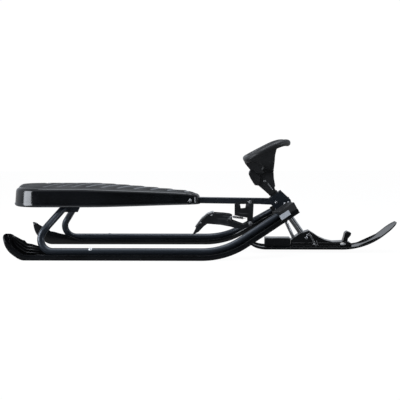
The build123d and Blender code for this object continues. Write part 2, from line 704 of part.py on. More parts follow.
def shaft_collar():
    """The ring that holds the shaft up against the yoke."""
    high = YOKE_AT - RUNNING_GAP
    return column_rod(high - COLLAR_H, high, COLLAR_D / 2) - column_rod(
        high - COLLAR_H - 1, high + 1, SHAFT_D / 2 + PIN_GAP
    )


def fork_plate():
    """The plate clamped round the shaft that takes the brace's upper end."""
    foot = BRACE_TOP + FACE_GAP
    outline = [(-30, -14), (4, -20), (16, -12), (16, 12), (4, 20), (-30, 14)]
    sheet = extrude(column(foot) * make_face(Polyline(*outline, close=True)), amount=FORK_PLATE_T)
    return sheet - column_rod(foot - 1, foot + FORK_PLATE_T + 1, SHAFT_D / 2 + PIN_GAP)


def brace_rod(gap=0.0):
    """The thin rod behind the shaft, from the ski holder to the fork plate."""
    top = column(BRACE_TOP, BRACE_TOP_AHEAD).origin
    low = Vector(BRACE_FOOT_X, 0, BRACE_FOOT_Z)
    rod = bar(tuple(low), tuple(low + (top - low) * 1.2), BRACE_D / 2 + gap)
    return rod - extrude(column(BRACE_TOP) * Rectangle(400, 400), amount=200)


# ==== Front ski =============================================================================


def ski_path():
    """Underside of the front ski, from its tail to its tip."""
    tail = math.radians(SKI_TAIL_TURN)
    nose = math.radians(SKI_NOSE_TURN)

    def on_tail(turn):
        rise = SKI_TAIL_R * (1 - math.cos(turn))
        return (SKI_FLAT_REAR_X - SKI_TAIL_R * math.sin(turn), 0, SKI_LIFT + rise)

    def on_nose(turn):
        rise = SKI_NOSE_R * (1 - math.cos(turn))
        return (SKI_FLAT_FRONT_X + SKI_NOSE_R * math.sin(turn), 0, SKI_LIFT + rise)

    last = on_nose(nose)
    reach = HALF_L - last[0]
    return Wire([
        ThreePointArc(on_tail(tail), on_tail(tail / 2), on_tail(0)).edge(),
        Line(on_tail(0), on_nose(0)).edge(),
        ThreePointArc(on_nose(0), on_nose(nose / 2), last).edge(),
        Line(last, (HALF_L, 0, last[2] + reach * math.tan(nose))).edge(),
    ])


def ski_plan(inset):
    """The front ski seen from above, with a rounded tail and a longer rounded tip."""
    half = SKI_W / 2 - inset
    rear = (ski_path() @ 0).X + inset
    front = HALF_L - inset
    tail, tip = SKI_TAIL_ROUND - inset, SKI_TIP_ROUND - inset
    lines = [
        Line((rear + tail, -half), (front - tip, -half)),
        ThreePointArc((front - tip, -half), (front, 0), (front - tip, half)),
        Line((front - tip, half), (rear + tail, half)),
        ThreePointArc((rear + tail, half), (rear, 0), (rear + tail, -half)),
    ]
    return Pos(0, 0, -50) * extrude(make_face(lines), amount=300)


def over_nose_rim():
    """Outline of the room over the rim, which gets lower along the upturned nose."""
    steps = 8
    line = []
    for i in range(steps + 1):
        share = i / steps
        turn = math.radians(SKI_NOSE_TURN) * share
        up = SKI_T + SKI_RIM_H + (SKI_TIP_RIM_H - SKI_RIM_H) * eased(share * 1.6)
        radius = SKI_NOSE_R - up
        x = SKI_FLAT_FRONT_X + radius * math.sin(turn)
        line.append((x, SKI_LIFT + SKI_NOSE_R - radius * math.cos(turn)))
    reach = HALF_L + 40 - line[-1][0]
    line.append((HALF_L + 40, line[-1][1] + reach * math.tan(math.radians(SKI_NOSE_TURN))))
    return line + [(HALF_L + 40, 250), (SKI_FLAT_FRONT_X, 250)]


def front_ski():
    """A long tray: a sole with a rim all round it, lower at the tip."""
    body = along(ski_path(), standing(SKI_W, SKI_T + SKI_RIM_H)) & ski_plan(0)
    tray = Pos(0, SKI_T) * standing(SKI_W, 2 * SKI_RIM_H)
    tray = along(ski_path(), tray) & ski_plan(SKI_RIM_W)
    return body - tray - plate(over_nose_rim(), SKI_W + 20)


HOLDER_FOOT_Z = SKI_TOP_Z + FACE_GAP
HOLDER_TOP = [(308, 44), (311, 46), (336, 65), (354, 72), (372, 78), (390, 67), (409, 54), (434, 43),
              (460, 37), (488, 38), (506, 40), (523, 34)]


def ski_holder():
    """Moulded saddle on the front ski that the shaft and the brace are bolted into."""
    outline = HOLDER_TOP + [(526, HOLDER_FOOT_Z + 8), (526, HOLDER_FOOT_Z), (308, HOLDER_FOOT_Z)]
    block = plate(outline, HOLDER_W) & along(ski_room_path(), standing(HOLDER_W, 90))
    for z in HOLDER_RAILS_Z:
        rail = [(311, z), (484, z), (484, z + HOLDER_RAIL_H), (311, z + HOLDER_RAIL_H)]
        block += plate(rail, HOLDER_W + 2 * HOLDER_RAIL_OUT)
    slot = Pos(HOLDER_SLOT_X, 0, HOLDER_SLOT_Z) * Rot(90, 0, 0) * extrude(
        SlotOverall(HOLDER_SLOT_L, HOLDER_SLOT_H), amount=HOLDER_W, both=True
    )
    block -= slot
    block -= column_rod(SHAFT_FOOT - FACE_GAP, 0, SHAFT_D / 2 + SEATED)
    block -= brace_rod(SEATED)
    pin = bar((HOLDER_PIN_X, -HOLDER_W, HOLDER_PIN_Z), (HOLDER_PIN_X, HOLDER_W, HOLDER_PIN_Z),
              HOLDER_PIN_D / 2 + PIN_GAP)
    return max((block - pin).solids(), key=lambda s: s.volume)


def ski_room_path():
    """The line just over the sole's upper face that the pieces on the ski stand on."""
    nose = math.radians(SKI_NOSE_TURN / 3)
    radius = SKI_NOSE_R - SKI_T - FACE_GAP
    z = HOLDER_FOOT_Z

    def on_nose(turn):
        return (SKI_FLAT_FRONT_X + radius * math.sin(turn), 0, z + radius * (1 - math.cos(turn)))

    return Wire([
        Line((SKI_FLAT_REAR_X - 30, 0, z), on_nose(0)).edge(),
        ThreePointArc(on_nose(0), on_nose(nose / 2), on_nose(nose)).edge(),
    ])


def holder_pin():
    half = HOLDER_W / 2 + 4
    return bar((HOLDER_PIN_X, -half, HOLDER_PIN_Z), (HOLDER_PIN_X, half, HOLDER_PIN_Z), HOLDER_PIN_D / 2)


def tow_reel_box():
    """Closed box on the ski's tail, with the wound-up tow line inside."""
    low = (REEL_REAR_X, -REEL_W / 2, HOLDER_FOOT_Z)
    high = (REEL_FRONT_X, REEL_W / 2, REEL_TOP_Z)
    box = box_between(low, high)
    return fillet(box.edges().filter_by(Axis.Z) + box.faces().sort_by(Axis.Z)[-1].edges(), 2.5)


def tow_knob():
    """Handle of the tow line, pushed into the front of the ski holder."""
    outline = [(494, 36), (500, 56), (503, 69), (511, 75), (526, 69), (524, 60), (514, 48), (512, 34)]
    knob = plate(outline, KNOB_W)
    lift = Pos(0, 0, FACE_GAP) * plate(HOLDER_TOP + [(526, 0), (308, 0)], KNOB_W + 10)
    return max((knob - lift).solids(), key=lambda s: s.volume)


# ==== The pieces ============================================================================

keep("top_tube", top_tube())
keep("rear_cross_plate", rear_cross_plate())
keep("front_yoke", front_yoke())
keep("head_tube", head_tube())
keep("head_hood", head_hood())
for name, side in SIDES:
    keep(f"{name}_frame_tube", frame_tube(side))
    keep(f"{name}_runner", runner(side))
    keep(f"{name}_front_cap", front_cap(side))
    keep(f"{name}_head_cheek", head_cheek(side))
    keep(f"{name}_brake_claw", brake_plate(side))
keep("seat", seat())
keep("rear_seat_block", seat_block(-470, 70))
keep("front_seat_block", seat_block(-120, 56))
keep("brake_hanger", brake_hanger())
keep("brake_shaft", brake_shaft())
keep("brake_strip", brake_strip())
keep("brake_hub", brake_hub())
keep("pedal_bar", pedal_bar())
keep("steering_wheel", steering_wheel())
keep("rear_cover", rear_cover())
keep("column_cover", column_cover())
keep("steering_shaft", steering_shaft())
keep("shaft_collar", shaft_collar())
keep("column_bush", column_bush())
keep("fork_plate", fork_plate())
keep("brace_rod", brace_rod())
keep("front_ski", front_ski())
keep("ski_holder", ski_holder())
keep("holder_pin", holder_pin())
keep("tow_reel_box", tow_reel_box())
keep("tow_knob", tow_knob())
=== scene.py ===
# %% [markdown]
# # A two-seat snow sled, from a bare CAD assembly to a finished model
# The CAD parts already have their sizes, their places and their joints, so they are loaded as a
# fixed frame. What is left is what a maker adds after the drawing: softened edges, moulded
# textures, plating, paint, fasteners, a spring and the seat's padded top.
# Everything is built around the frame, and each new piece but the brake's spring rides on one of
# its three bodies: frame, steering and brake. The spring is one fixed piece on none of them.

# %% Load the imported frame
import json
import math

import bmesh
import bpy
from mathutils import Matrix, Vector


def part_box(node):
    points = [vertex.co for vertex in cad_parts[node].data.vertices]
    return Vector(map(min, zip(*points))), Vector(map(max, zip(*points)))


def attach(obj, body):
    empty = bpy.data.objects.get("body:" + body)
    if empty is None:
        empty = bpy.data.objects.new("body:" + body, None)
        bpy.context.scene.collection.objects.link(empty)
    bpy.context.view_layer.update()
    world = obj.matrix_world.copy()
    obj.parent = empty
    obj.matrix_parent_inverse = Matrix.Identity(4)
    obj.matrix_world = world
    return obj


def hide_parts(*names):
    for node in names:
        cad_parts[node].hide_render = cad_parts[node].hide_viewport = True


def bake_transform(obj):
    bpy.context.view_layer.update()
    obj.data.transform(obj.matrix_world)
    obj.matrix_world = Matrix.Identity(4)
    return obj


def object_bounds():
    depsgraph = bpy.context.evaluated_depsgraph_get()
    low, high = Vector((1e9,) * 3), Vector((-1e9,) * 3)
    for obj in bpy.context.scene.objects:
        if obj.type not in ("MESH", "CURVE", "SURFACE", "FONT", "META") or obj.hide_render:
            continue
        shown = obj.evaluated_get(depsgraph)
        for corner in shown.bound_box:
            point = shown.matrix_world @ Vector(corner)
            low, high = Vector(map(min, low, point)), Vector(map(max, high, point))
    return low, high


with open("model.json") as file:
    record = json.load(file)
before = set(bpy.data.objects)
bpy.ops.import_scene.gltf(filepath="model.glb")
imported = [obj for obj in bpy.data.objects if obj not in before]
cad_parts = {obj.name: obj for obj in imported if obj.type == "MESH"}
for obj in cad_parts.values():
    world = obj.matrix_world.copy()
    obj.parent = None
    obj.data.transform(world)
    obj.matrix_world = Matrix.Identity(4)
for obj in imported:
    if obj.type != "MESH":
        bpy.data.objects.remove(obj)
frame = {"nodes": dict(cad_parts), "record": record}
cad_low, cad_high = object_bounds()
nodes = frame["nodes"]
record = frame["record"]
body_of = {n: body for body, members in record["behaviour"]["bodies"].items() for n in members}
slot_of = {part["node"]: part["material_slot"] for part in record["subparts"]}
print("CAD nodes:", len(nodes), "on bodies:", sorted(set(body_of.values())))

# %% Helper: objects
MM = 0.001                    # sizes here are in millimetres, and the scene is in metres


def add(name, data):
    """An object with this data, in the scene."""
    made = bpy.data.objects.new(name, data)
    bpy.context.scene.collection.objects.link(made)
    return made


def mesh_object(name, bm, finishes, scale=MM, sharp=180.0):
    """An object from a bmesh. Edges that turn by less than sharp degrees are shaded smooth."""
    bmesh.ops.scale(bm, vec=(scale, scale, scale), verts=bm.verts)
    mesh = bpy.data.meshes.new(name)
    bm.to_mesh(mesh)
    bm.free()
    for finish in finishes:
        mesh.materials.append(finish)
    mesh.shade_smooth()
    mesh.set_sharp_from_angle(angle=math.radians(sharp))
    return add(name, mesh)


# %% [markdown]
# ## Camera
# The sled is seen from its right side, from a little above seat height. A long lens from almost
# three metres away keeps the two runners nearly parallel. The camera is placed by numbers rather
# than aimed with a constraint, because its small roll is part of the view.

# %% Place the camera
CAMERA_AT = (0.0946, -2.76, 0.4124)
CAMERA_PITCH = 4.65           # degrees below the horizon
CAMERA_ROLL = 0.25
CAMERA_YAW = 2.4              # degrees towards the sled's rear
CAMERA_LENS = 68.27

camera = add("side_camera", bpy.data.cameras.new("side_camera"))
camera.data.lens = CAMERA_LENS
camera.location = CAMERA_AT
camera.rotation_euler = [math.radians(a) for a in (90 - CAMERA_PITCH, CAMERA_ROLL, CAMERA_YAW)]
bpy.context.scene.camera = camera
print("camera", round(Vector(CAMERA_AT).length, 2), "m from the sled")

# %% [markdown]
# ## Small helpers for shader trees
# A material is a tree of nodes joined by links. Writing each node as three or four lines would
# hide what the material does, so one helper makes a node, sets its options and fills its inputs.
# An input that is given another node's output is linked, and any other value is simply stored.

# %% Helper: add one shader node
def place(tree, kind, inputs=None, **options):
    """Adds a node, sets its options, and stores or links its inputs."""
    made = tree.nodes.new(kind)
    for name, value in options.items():
        setattr(made, name, value)
    for socket, value in (inputs or {}).items():
        if isinstance(value, bpy.types.NodeSocket):
            tree.links.new(value, made.inputs[socket])
        else:
            made.inputs[socket].default_value = value
    return made


def empty_tree(owner):
    """The tree of a new material or world, with nothing in it."""
    owner.use_nodes = True
    owner.node_tree.nodes.clear()
    return owner.node_tree


# %% Helper: arithmetic, ranges and colour mixing
MIX_A, MIX_B, MIX_RESULT = 6, 7, 2          # the colour sockets of a Mix node


def maths(tree, operation, a, b):
    """One sum on two values."""
    return place(tree, "ShaderNodeMath", {0: a, 1: b}, operation=operation).outputs[0]


def remap(tree, value, low, high, to_low=0.0, to_high=1.0):
    """Stretches a value's range, smoothly and clamped at both ends."""
    inputs = {"Value": value, "From Min": low, "From Max": high, "To Min": to_low, "To Max": to_high}
    return place(tree, "ShaderNodeMapRange", inputs, interpolation_type="SMOOTHSTEP").outputs["Result"]


def mixed(tree, share, a, b):
    """A colour between two colours."""
    inputs = {0: share, MIX_A: a, MIX_B: b}
    return place(tree, "ShaderNodeMix", inputs, data_type="RGBA").outputs[MIX_RESULT]


def layered(tree, colour, *layers):
    """Lays more colours over a colour, each where its mask is."""
    for mask, over in layers:
        colour = mixed(tree, mask, colour, over)
    return colour


def grey(value, blue=1.0):
    """A neutral colour, or one a little towards blue."""
    return (value, value * (1 + (blue - 1) * 0.4), value * blue, 1.0)


# %% Helper: textures
def object_coords(tree):
    """Coordinates that stay with the piece when it moves."""
    return place(tree, "ShaderNodeTexCoord").outputs["Object"]


def noise(tree, coords, scale, detail=2.0, roughness=0.5):
    """Soft clouds from 0 to 1."""
    inputs = {"Vector": coords, "Scale": scale, "Detail": detail, "Roughness": roughness}
    return place(tree, "ShaderNodeTexNoise", inputs).outputs["Fac"]


def cells(tree, coords, scale):
    """How far each point lies from the middle of its cell."""
    inputs = {"Vector": coords, "Scale": scale}
    return place(tree, "ShaderNodeTexVoronoi", inputs).outputs["Distance"]


# %% Helper: shared node groups
def shared_group(name, build, **inputs):
    """A group with float inputs. The build function adds its nodes and returns its outputs."""
    group = bpy.data.node_groups.new(name, "ShaderNodeTree")
    for label, value in inputs.items():
        socket = group.interface.new_socket(label, in_out="INPUT", socket_type="NodeSocketFloat")
        socket.default_value = value
    results = build(group, group.nodes.new("NodeGroupInput").outputs)
    for label in results:
        group.interface.new_socket(label, in_out="OUTPUT", socket_type="NodeSocketFloat")
    place(group, "NodeGroupOutput", results)
    print("group", name, "nodes:", len(group.nodes))
    return group


def use_group(tree, group, values):
    """Places a shared group in a material with this material's own values."""
    made = place(tree, "ShaderNodeGroup", dict(enumerate(values)), node_tree=group)
    return made.outputs.items()


# %% [markdown]
# ## Shared effects
# Moulded plastic, paint and plating differ in colour, but the same few things break up a plain
# surface on all of them: a fine grain, long rubbing marks, a little dust on what faces up, and
# worn edges. Each effect is a node group that puts out masks and heights only, so that every
# material can use it at its own strength. All of them read Object coordinates.

# %% Group: the grain of a moulded or sprayed surface
def build_grain(group, given):
    coords = object_coords(group)
    fine = noise(group, coords, given["Fineness"], 3.0, 0.55)
    pits = maths(group, "MULTIPLY", cells(group, coords, given["Fineness"]), given["Cells"])
    patches = remap(group, noise(group, coords, 11.0, 4.0, 0.6), 0.3, 0.7)
    return {"Height": maths(group, "SUBTRACT", fine, pits), "Patches": patches}


surface_grain = shared_group("surface_grain", build_grain, Fineness=900.0, Cells=0.4)


# %% Group: long marks from use, mostly lengthwise
def build_marks(group, given):
    coords = object_coords(group)
    total = 0.0
    for turn, slide in ((4.0, 0.0), (-9.0, 3.7)):
        lay = place(group, "ShaderNodeMapping",
                    {"Vector": coords, "Location": (slide, slide, 0.0),
                     "Rotation": (0.0, math.radians(turn), math.radians(turn)),
                     "Scale": (0.08, 1.0, 1.0)}).outputs["Vector"]
        lines = remap(group, noise(group, lay, given["Fineness"]), 0.66, 0.70)
        total = maths(group, "ADD", lines, total)
    where = remap(group, noise(group, coords, 7.0), 0.45, 0.65)
    total = maths(group, "MULTIPLY", maths(group, "MULTIPLY", total, where), given["Amount"])
    return {"Marks": maths(group, "MINIMUM", total, 1.0)}


rubbing_marks = shared_group("rubbing_marks", build_marks, Fineness=60.0, Amount=0.5)


# %% Group: thin dust on faces that look up
def build_dust(group, given):
    cloud = remap(group, noise(group, object_coords(group), 42.0, 6.0, 0.7), 0.35, 0.75)
    normal = place(group, "ShaderNodeNewGeometry").outputs["Normal"]
    up = place(group, "ShaderNodeSeparateXYZ", {0: normal}).outputs["Z"]
    lying = maths(group, "MULTIPLY", remap(group, up, 0.35, 0.95), cloud)
    return {"Dust": maths(group, "MULTIPLY", lying, given["Amount"])}


settled_dust = shared_group("settled_dust", build_dust, Amount=0.2)


# %% Group: edges where the finish is thinner
def build_edges(group, given):
    rounded = place(group, "ShaderNodeBevel", {"Radius": given["Width"]}, samples=4)
    normal = place(group, "ShaderNodeNewGeometry").outputs["Normal"]
    same = place(group, "ShaderNodeVectorMath", {0: rounded.outputs["Normal"], 1: normal},
                 operation="DOT_PRODUCT").outputs["Value"]
    edge = remap(group, maths(group, "SUBTRACT", 1.0, same), 0.02, 0.20)
    breaks = remap(group, noise(group, object_coords(group), 160.0), 0.35, 0.6)
    edge = maths(group, "MULTIPLY", edge, breaks)
    return {"Edge": maths(group, "MULTIPLY", edge, given["Amount"])}


thin_edges = shared_group("thin_edges", build_edges, Width=0.0012, Amount=0.5)

# %% [markdown]
# ## Finishes
# A few finishes cover the sled. Each material mixes its colours from the shared masks, turns grain
# height into a normal with a Bump node, and feeds its own Principled shader. Constants such as the
# coat's roughness stay on the shader's own sockets. Dust and marks also make a surface rougher.

# %% Helper: start and end a finish
DUST_GREY = grey(0.12)


def new_finish(name, grain, dust, marks=None, edge=None):
    """A material with its effects. Each effect is given its own values, in its group's order."""
    material = bpy.data.materials.new(name)
    tree = empty_tree(material)
    masks = dict(use_group(tree, surface_grain, grain))
    masks.update(use_group(tree, settled_dust, (dust,)))
    if marks:
        masks.update(use_group(tree, rubbing_marks, marks))
    if edge:
        masks.update(use_group(tree, thin_edges, edge))
    return material, tree, masks


def patchy(tree, masks, low, high, marks_share=0.0):
    """Roughness that drifts between two values in broad patches, and is higher on marks."""
    rough = remap(tree, masks["Patches"], 0.0, 1.0, low, high)
    if marks_share:
        rough = maths(tree, "ADD", rough, maths(tree, "MULTIPLY", masks["Marks"], marks_share))
    return rough


def complete(material, masks, colour, rough, height, relief, constants=None):
    """Feeds a finish to its shader, with the relief of its height in metres."""
    tree = material.node_tree
    rough = maths(tree, "ADD", rough, masks["Dust"])
    tilted = place(tree, "ShaderNodeBump", {"Height": height, "Distance": relief, "Strength": 1.0})
    inputs = {"Base Color": colour, "Roughness": rough, "Normal": tilted.outputs["Normal"]}
    shader = place(tree, "ShaderNodeBsdfPrincipled", {**inputs, **(constants or {})})
    place(tree, "ShaderNodeOutputMaterial", {"Surface": shader.outputs["BSDF"]})
    return material


# %% [markdown]
# ### Metallic paint on the frame
# The steel tubes carry a dark blue-grey paint with fine metal flakes under a clear coat. Flakes
# could be real geometry, but they are finer than a hair, so small cells that lighten the base
# colour give the same glitter.

# %% Frame paint
def frame_paint(name, dark, light):
    material, tree, masks = new_finish(name, (420.0, 0.0), 0.05, (70.0, 0.5), (0.0010, 0.35))
    glint = remap(tree, cells(tree, object_coords(tree), 1900.0), 0.0, 0.55, 1.0, 0.0)
    colour = layered(tree, mixed(tree, glint, grey(dark, 1.7), grey(light, 1.6)),
                     (masks["Edge"], grey(0.10, 1.2)), (masks["Dust"], DUST_GREY))
    return complete(material, masks, colour, patchy(tree, masks, 0.31, 0.39, 0.2), masks["Height"],
                    0.00006, {"Metallic": 0.55, "Coat Weight": 0.28, "Coat Roughness": 0.07})


# %% [markdown]
# ### Gloss black plastic
# The runners, the front ski and the seat's skirt are moulded in a polished tool, so they shine.
# Snow and shoes leave long fine marks, which are less glossy than the rest.

# %% Gloss black
def gloss_black(name, base, low, high, marks_amount):
    material, tree, masks = new_finish(name, (260.0, 0.15), 0.03, (90.0, marks_amount))
    colour = layered(tree, mixed(tree, masks["Patches"], grey(base, 1.2), grey(base * 1.6, 1.35)),
                     (maths(tree, "MULTIPLY", masks["Marks"], 0.5), grey(0.03, 1.1)),
                     (masks["Dust"], DUST_GREY))
    rough = patchy(tree, masks, low, high, 0.28)
    return complete(material, masks, colour, rough, masks["Height"], 0.00002)


# %% [markdown]
# ### Matte black plastic
# The wheel and its covers come from spark-eroded tools. The tool's pitted surface leaves a fine
# even grain that scatters the light, so the grain here has cells as well as noise, and more depth.

# %% Matte black
def matte_black(name, base, low, high, fineness, relief, mirror=0.5):
    material, tree, masks = new_finish(name, (fineness, 0.6), 0.04, (120.0, 0.35))
    colour = layered(tree, mixed(tree, masks["Height"], grey(base * 0.7, 1.1), grey(base * 1.35, 1.2)),
                     (maths(tree, "MULTIPLY", masks["Marks"], 0.4), grey(0.05, 1.05)),
                     (masks["Dust"], DUST_GREY))
    return complete(material, masks, colour, patchy(tree, masks, low, high), masks["Height"], relief,
                    {"Specular IOR Level": mirror})


# %% [markdown]
# ### Bright steel
# Two bright finishes are used. The steering shaft is chrome plated, mirror smooth with hair-fine
# polishing lines. The brace rod, the fasteners, the spring and the other small steel pieces are
# zinc plated: softer, and clouded in small patches where the zinc has crystallised.

# %% Chrome
def chrome():
    material, tree, masks = new_finish("chrome", (650.0, 0.0), 0.10)
    lay = place(tree, "ShaderNodeMapping", {"Vector": object_coords(tree), "Scale": (1.0, 1.0, 6.0)})
    lines = noise(tree, lay.outputs["Vector"], 900.0)
    colour = mixed(tree, masks["Patches"], grey(0.60, 1.03), grey(0.68, 1.03))
    rough = remap(tree, lines, 0.3, 0.7, 0.06, 0.15)
    return complete(material, masks, colour, rough, lines, 0.00001, {"Metallic": 1.0})


# %% Zinc
def zinc():
    material, tree, masks = new_finish("zinc_plating", (1200.0, 0.3), 0.12, edge=(0.0006, 0.5))
    crystals = remap(tree, cells(tree, object_coords(tree), 260.0), 0.1, 0.8)
    colour = layered(tree, mixed(tree, crystals, grey(0.52, 1.05), grey(0.70, 1.03)),
                     (masks["Edge"], grey(0.72)))
    rough = remap(tree, crystals, 0.0, 1.0, 0.24, 0.42)
    return complete(material, masks, colour, rough, masks["Height"], 0.00003, {"Metallic": 1.0})


# %% [markdown]
# ### Powder-coated steel
# The brake's plates are stamped steel with a black powder coat. Powder melts into a skin with a
# faint orange peel, and it wears grey along sharp edges.

# %% Powder coat
def powder_coat():
    material, tree, masks = new_finish("powder_coat", (520.0, 0.25), 0.05, (110.0, 0.8), (0.0009, 0.7))
    worn = maths(tree, "MAXIMUM", masks["Edge"], masks["Marks"])
    colour = layered(tree, mixed(tree, masks["Patches"], grey(0.009, 1.2), grey(0.018, 1.3)),
                     (worn, grey(0.16, 1.05)), (masks["Dust"], DUST_GREY))
    return complete(material, masks, colour, patchy(tree, masks, 0.30, 0.42), masks["Height"],
                    0.00012, {"Coat Weight": 0.25, "Coat Roughness": 0.2})


# %% Make the finishes
paint = frame_paint("frame_paint", 0.020, 0.062)
# a lighter copy of the frame paint for the hood: painted light on its front face
hood_painted_light = frame_paint("hood_painted_light", 0.05, 0.12)
gloss = gloss_black("gloss_black", 0.0035, 0.11, 0.18, 0.5)
skirt_gloss = gloss_black("skirt_gloss", 0.0035, 0.09, 0.15, 0.3)
matte = matte_black("matte_black", 0.014, 0.38, 0.52, 1300.0, 0.00008)
seat_satin = matte_black("seat_satin", 0.005, 0.40, 0.52, 700.0, 0.00010, 0.17)
# matte light grey for the plates on the front caps: a painted reflection of the room on their gloss
cap_painted_reflection = matte_black("cap_painted_reflection", 0.58, 0.24, 0.34, 900.0, 0.00004)
# the pale grey of the grooves between the pads is a painted highlight, not the seat's own colour
groove_painted_highlight = matte_black("groove_painted_highlight", 0.17, 0.24, 0.34, 700.0, 0.00004)
bright = chrome()
plated = zinc()
powder = powder_coat()
finish_for = {"frame_paint": paint, "gloss_plastic": gloss, "matte_plastic": matte,
              "black_steel": powder, "chrome": bright, "zinc_steel": plated}
print("finish of each slot:", {slot: finish.name for slot, finish in finish_for.items()})

# %% [markdown]
# ## Light, floor and background
# Dark gloss shows its surroundings more than its own colour, so the room matters as much as the
# lamps. The background is white to the camera. What mirrors it sees a greyer room, and a dim one
# on the camera's side: that keeps the flat sides of the sled black. Two upright softboxes at the
# ends put soft grey blocks on the rounded corners.

# %% Room
ROOM_LIGHT = 0.42             # what lights the sled from all round
ROOM_SEEN = 1.02              # what the camera sees
ROOM_MIRRORED = 0.62          # what mirror-like surfaces see
DIM_SIDE = 0.02               # and on the camera's side


def is_seen(tree):
    """The kinds of ray, and one for rays that show the room: seen, mirrored or through glass."""
    path = place(tree, "ShaderNodeLightPath").outputs
    seen = maths(tree, "MAXIMUM", path["Is Camera Ray"], path["Is Glossy Ray"])
    return path, maths(tree, "MAXIMUM", seen, path["Is Transmission Ray"])


def build_room():
    world = bpy.data.worlds.new("studio")
    tree = empty_tree(world)
    path, seen = is_seen(tree)
    towards = place(tree, "ShaderNodeTexCoord").outputs["Generated"]
    axes = place(tree, "ShaderNodeSeparateXYZ", {0: towards}).outputs
    front = remap(tree, axes["Y"], -0.55, 0.1, 1.0, 0.0)
    low = remap(tree, axes["Z"], 0.25, 0.85, 1.0, 0.0)
    dim = maths(tree, "MULTIPLY", maths(tree, "MULTIPLY", front, low), path["Is Glossy Ray"])
    mirrored = remap(tree, dim, 0.0, 1.0, ROOM_MIRRORED, DIM_SIDE)
    seen_level = remap(tree, path["Is Camera Ray"], 0.0, 1.0, mirrored, ROOM_SEEN)
    level = maths(tree, "ADD", maths(tree, "MULTIPLY", seen, seen_level),
                  maths(tree, "MULTIPLY", maths(tree, "SUBTRACT", 1.0, seen), ROOM_LIGHT))
    tint = mixed(tree, path["Is Camera Ray"], grey(0.90, 1.14), grey(1.0))
    light = place(tree, "ShaderNodeBackground", {"Color": tint, "Strength": level})
    place(tree, "ShaderNodeOutputWorld", {"Surface": light.outputs[0]})
    bpy.context.scene.world = world


build_room()
bpy.context.scene.view_settings.view_transform = "Standard"
print("room light", ROOM_LIGHT)


# %% Softboxes
def softbox(name, at, towards, width, height, power):
    """A flat lamp that faces a point."""
    data = bpy.data.lights.new(name, "AREA")
    data.shape = "RECTANGLE"
    data.size = width
    data.size_y = height
    data.energy = power
    data.color = grey(0.90, 1.12)[:3]
    lamp = add(name, data)
    lamp.location = at
    lamp.rotation_euler = (Vector(towards) - Vector(at)).to_track_quat("-Z", "Y").to_euler()


SOFTBOXES = (
    ("overhead", (0.0, -0.1, 2.6), (0.0, 0.0, 0.1), 2.4, 1.2, 34.0),
    ("rear_softbox", (-2.4, -1.15, 0.62), (-0.5, -0.1, 0.18), 1.25, 1.2, 46.0),
    ("front_softbox", (2.6, -0.9, 0.35), (0.3, 0.0, 0.15), 0.35, 0.9, 10.0),
)
for box in SOFTBOXES:
    softbox(*box)
print("softboxes:", len(SOFTBOXES))

# %% [markdown]
# The floor is a plain sheet just under the runners. To the camera it is almost self-lit white,
# with a small share of real shading, so that a faint shadow stays and no horizon shows.

# %% Floor
FLOOR_SIZE = 14.0
FLOOR_DROP = 0.0006
FLOOR_GLOW = 0.96
FLOOR_SHADE = 0.07
FLOOR_MIRRORED = 0.45         # how bright mirror-like surfaces see the floor behind the sled
FLOOR_DIM_Y = (-0.25, 0.60)   # and it dims between these places towards the camera


def floor_material():
    material = bpy.data.materials.new("pale_floor")
    tree = empty_tree(material)
    path, seen = is_seen(tree)
    ahead = place(tree, "ShaderNodeSeparateXYZ", {0: object_coords(tree)}).outputs["Y"]
    mirrored = remap(tree, ahead, *FLOOR_DIM_Y, DIM_SIDE, FLOOR_MIRRORED)
    level = remap(tree, path["Is Camera Ray"], 0.0, 1.0, mirrored, FLOOR_GLOW)
    glow = place(tree, "ShaderNodeEmission", {"Color": grey(1.0), "Strength": level})
    thin = place(tree, "ShaderNodeBsdfDiffuse", {"Color": grey(FLOOR_SHADE)})
    plain = place(tree, "ShaderNodeBsdfDiffuse", {"Color": grey(0.8)})
    shown = place(tree, "ShaderNodeAddShader", {0: glow.outputs[0], 1: thin.outputs[0]})
    both = place(tree, "ShaderNodeMixShader", {0: seen, 1: plain.outputs[0], 2: shown.outputs[0]})
    place(tree, "ShaderNodeOutputMaterial", {"Surface": both.outputs[0]})
    return material


sheet = bmesh.new()
bmesh.ops.create_grid(sheet, x_segments=1, y_segments=1, size=FLOOR_SIZE / 2)
bmesh.ops.translate(sheet, vec=(0.0, 0.0, cad_low.z - FLOOR_DROP), verts=sheet.verts)
mesh_object("floor", sheet, [floor_material()], scale=1.0)
print("floor at", round((cad_low.z - FLOOR_DROP) * 1000, 2), "mm")

# %% [markdown]
# ## From CAD nodes to finished pieces
# A CAD node is a bag of loose triangles with knife-sharp edges. Real sheet, tube and mouldings
# always have a small radius, and that radius is what catches the light. Each node gets a merged
# copy: equal corners are joined, flat areas are dissolved back into single faces, and a Bevel
# modifier rounds the edges. The copy then stands for the node, which stays as it is.

# %% Helper: turn a bmesh into a piece
SHARP = 32.0                  # edges under this angle are shaded smooth


def eased(share):
    """Rises smoothly from 0 to 1 as the share does."""
    share = min(1.0, max(0.0, share))
    return share * share * (3 - 2 * share)


def show(name, bm, body, *finishes, scale=MM, sharp=SHARP):
    """A piece that rides on a body."""
    piece = mesh_object(name, bm, finishes, scale, sharp)
    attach(piece, body)
    return piece


def stand_for(node):
    """The piece takes the node's place."""
    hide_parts(node)


def soften(piece, radius, segments):
    """Rounds a piece's sharp edges with a Bevel modifier."""
    rounding = piece.modifiers.new("edge_radius", "BEVEL")
    rounding.width = radius * MM
    rounding.segments = segments
    rounding.limit_method = "ANGLE"
    rounding.angle_limit = math.radians(SHARP)
    rounding.use_clamp_overlap = False
    rounding.harden_normals = True


# %% Helper: a merged copy of a CAD node
MERGE_WITHIN = 0.00001
FLAT_WITHIN = 0.7             # degrees


def joined_copy(node):
    """The node's mesh with its equal corners joined."""
    bm = bmesh.new()
    bm.from_mesh(nodes[node].data)
    bmesh.ops.remove_doubles(bm, verts=bm.verts, dist=MERGE_WITHIN)
    return bm


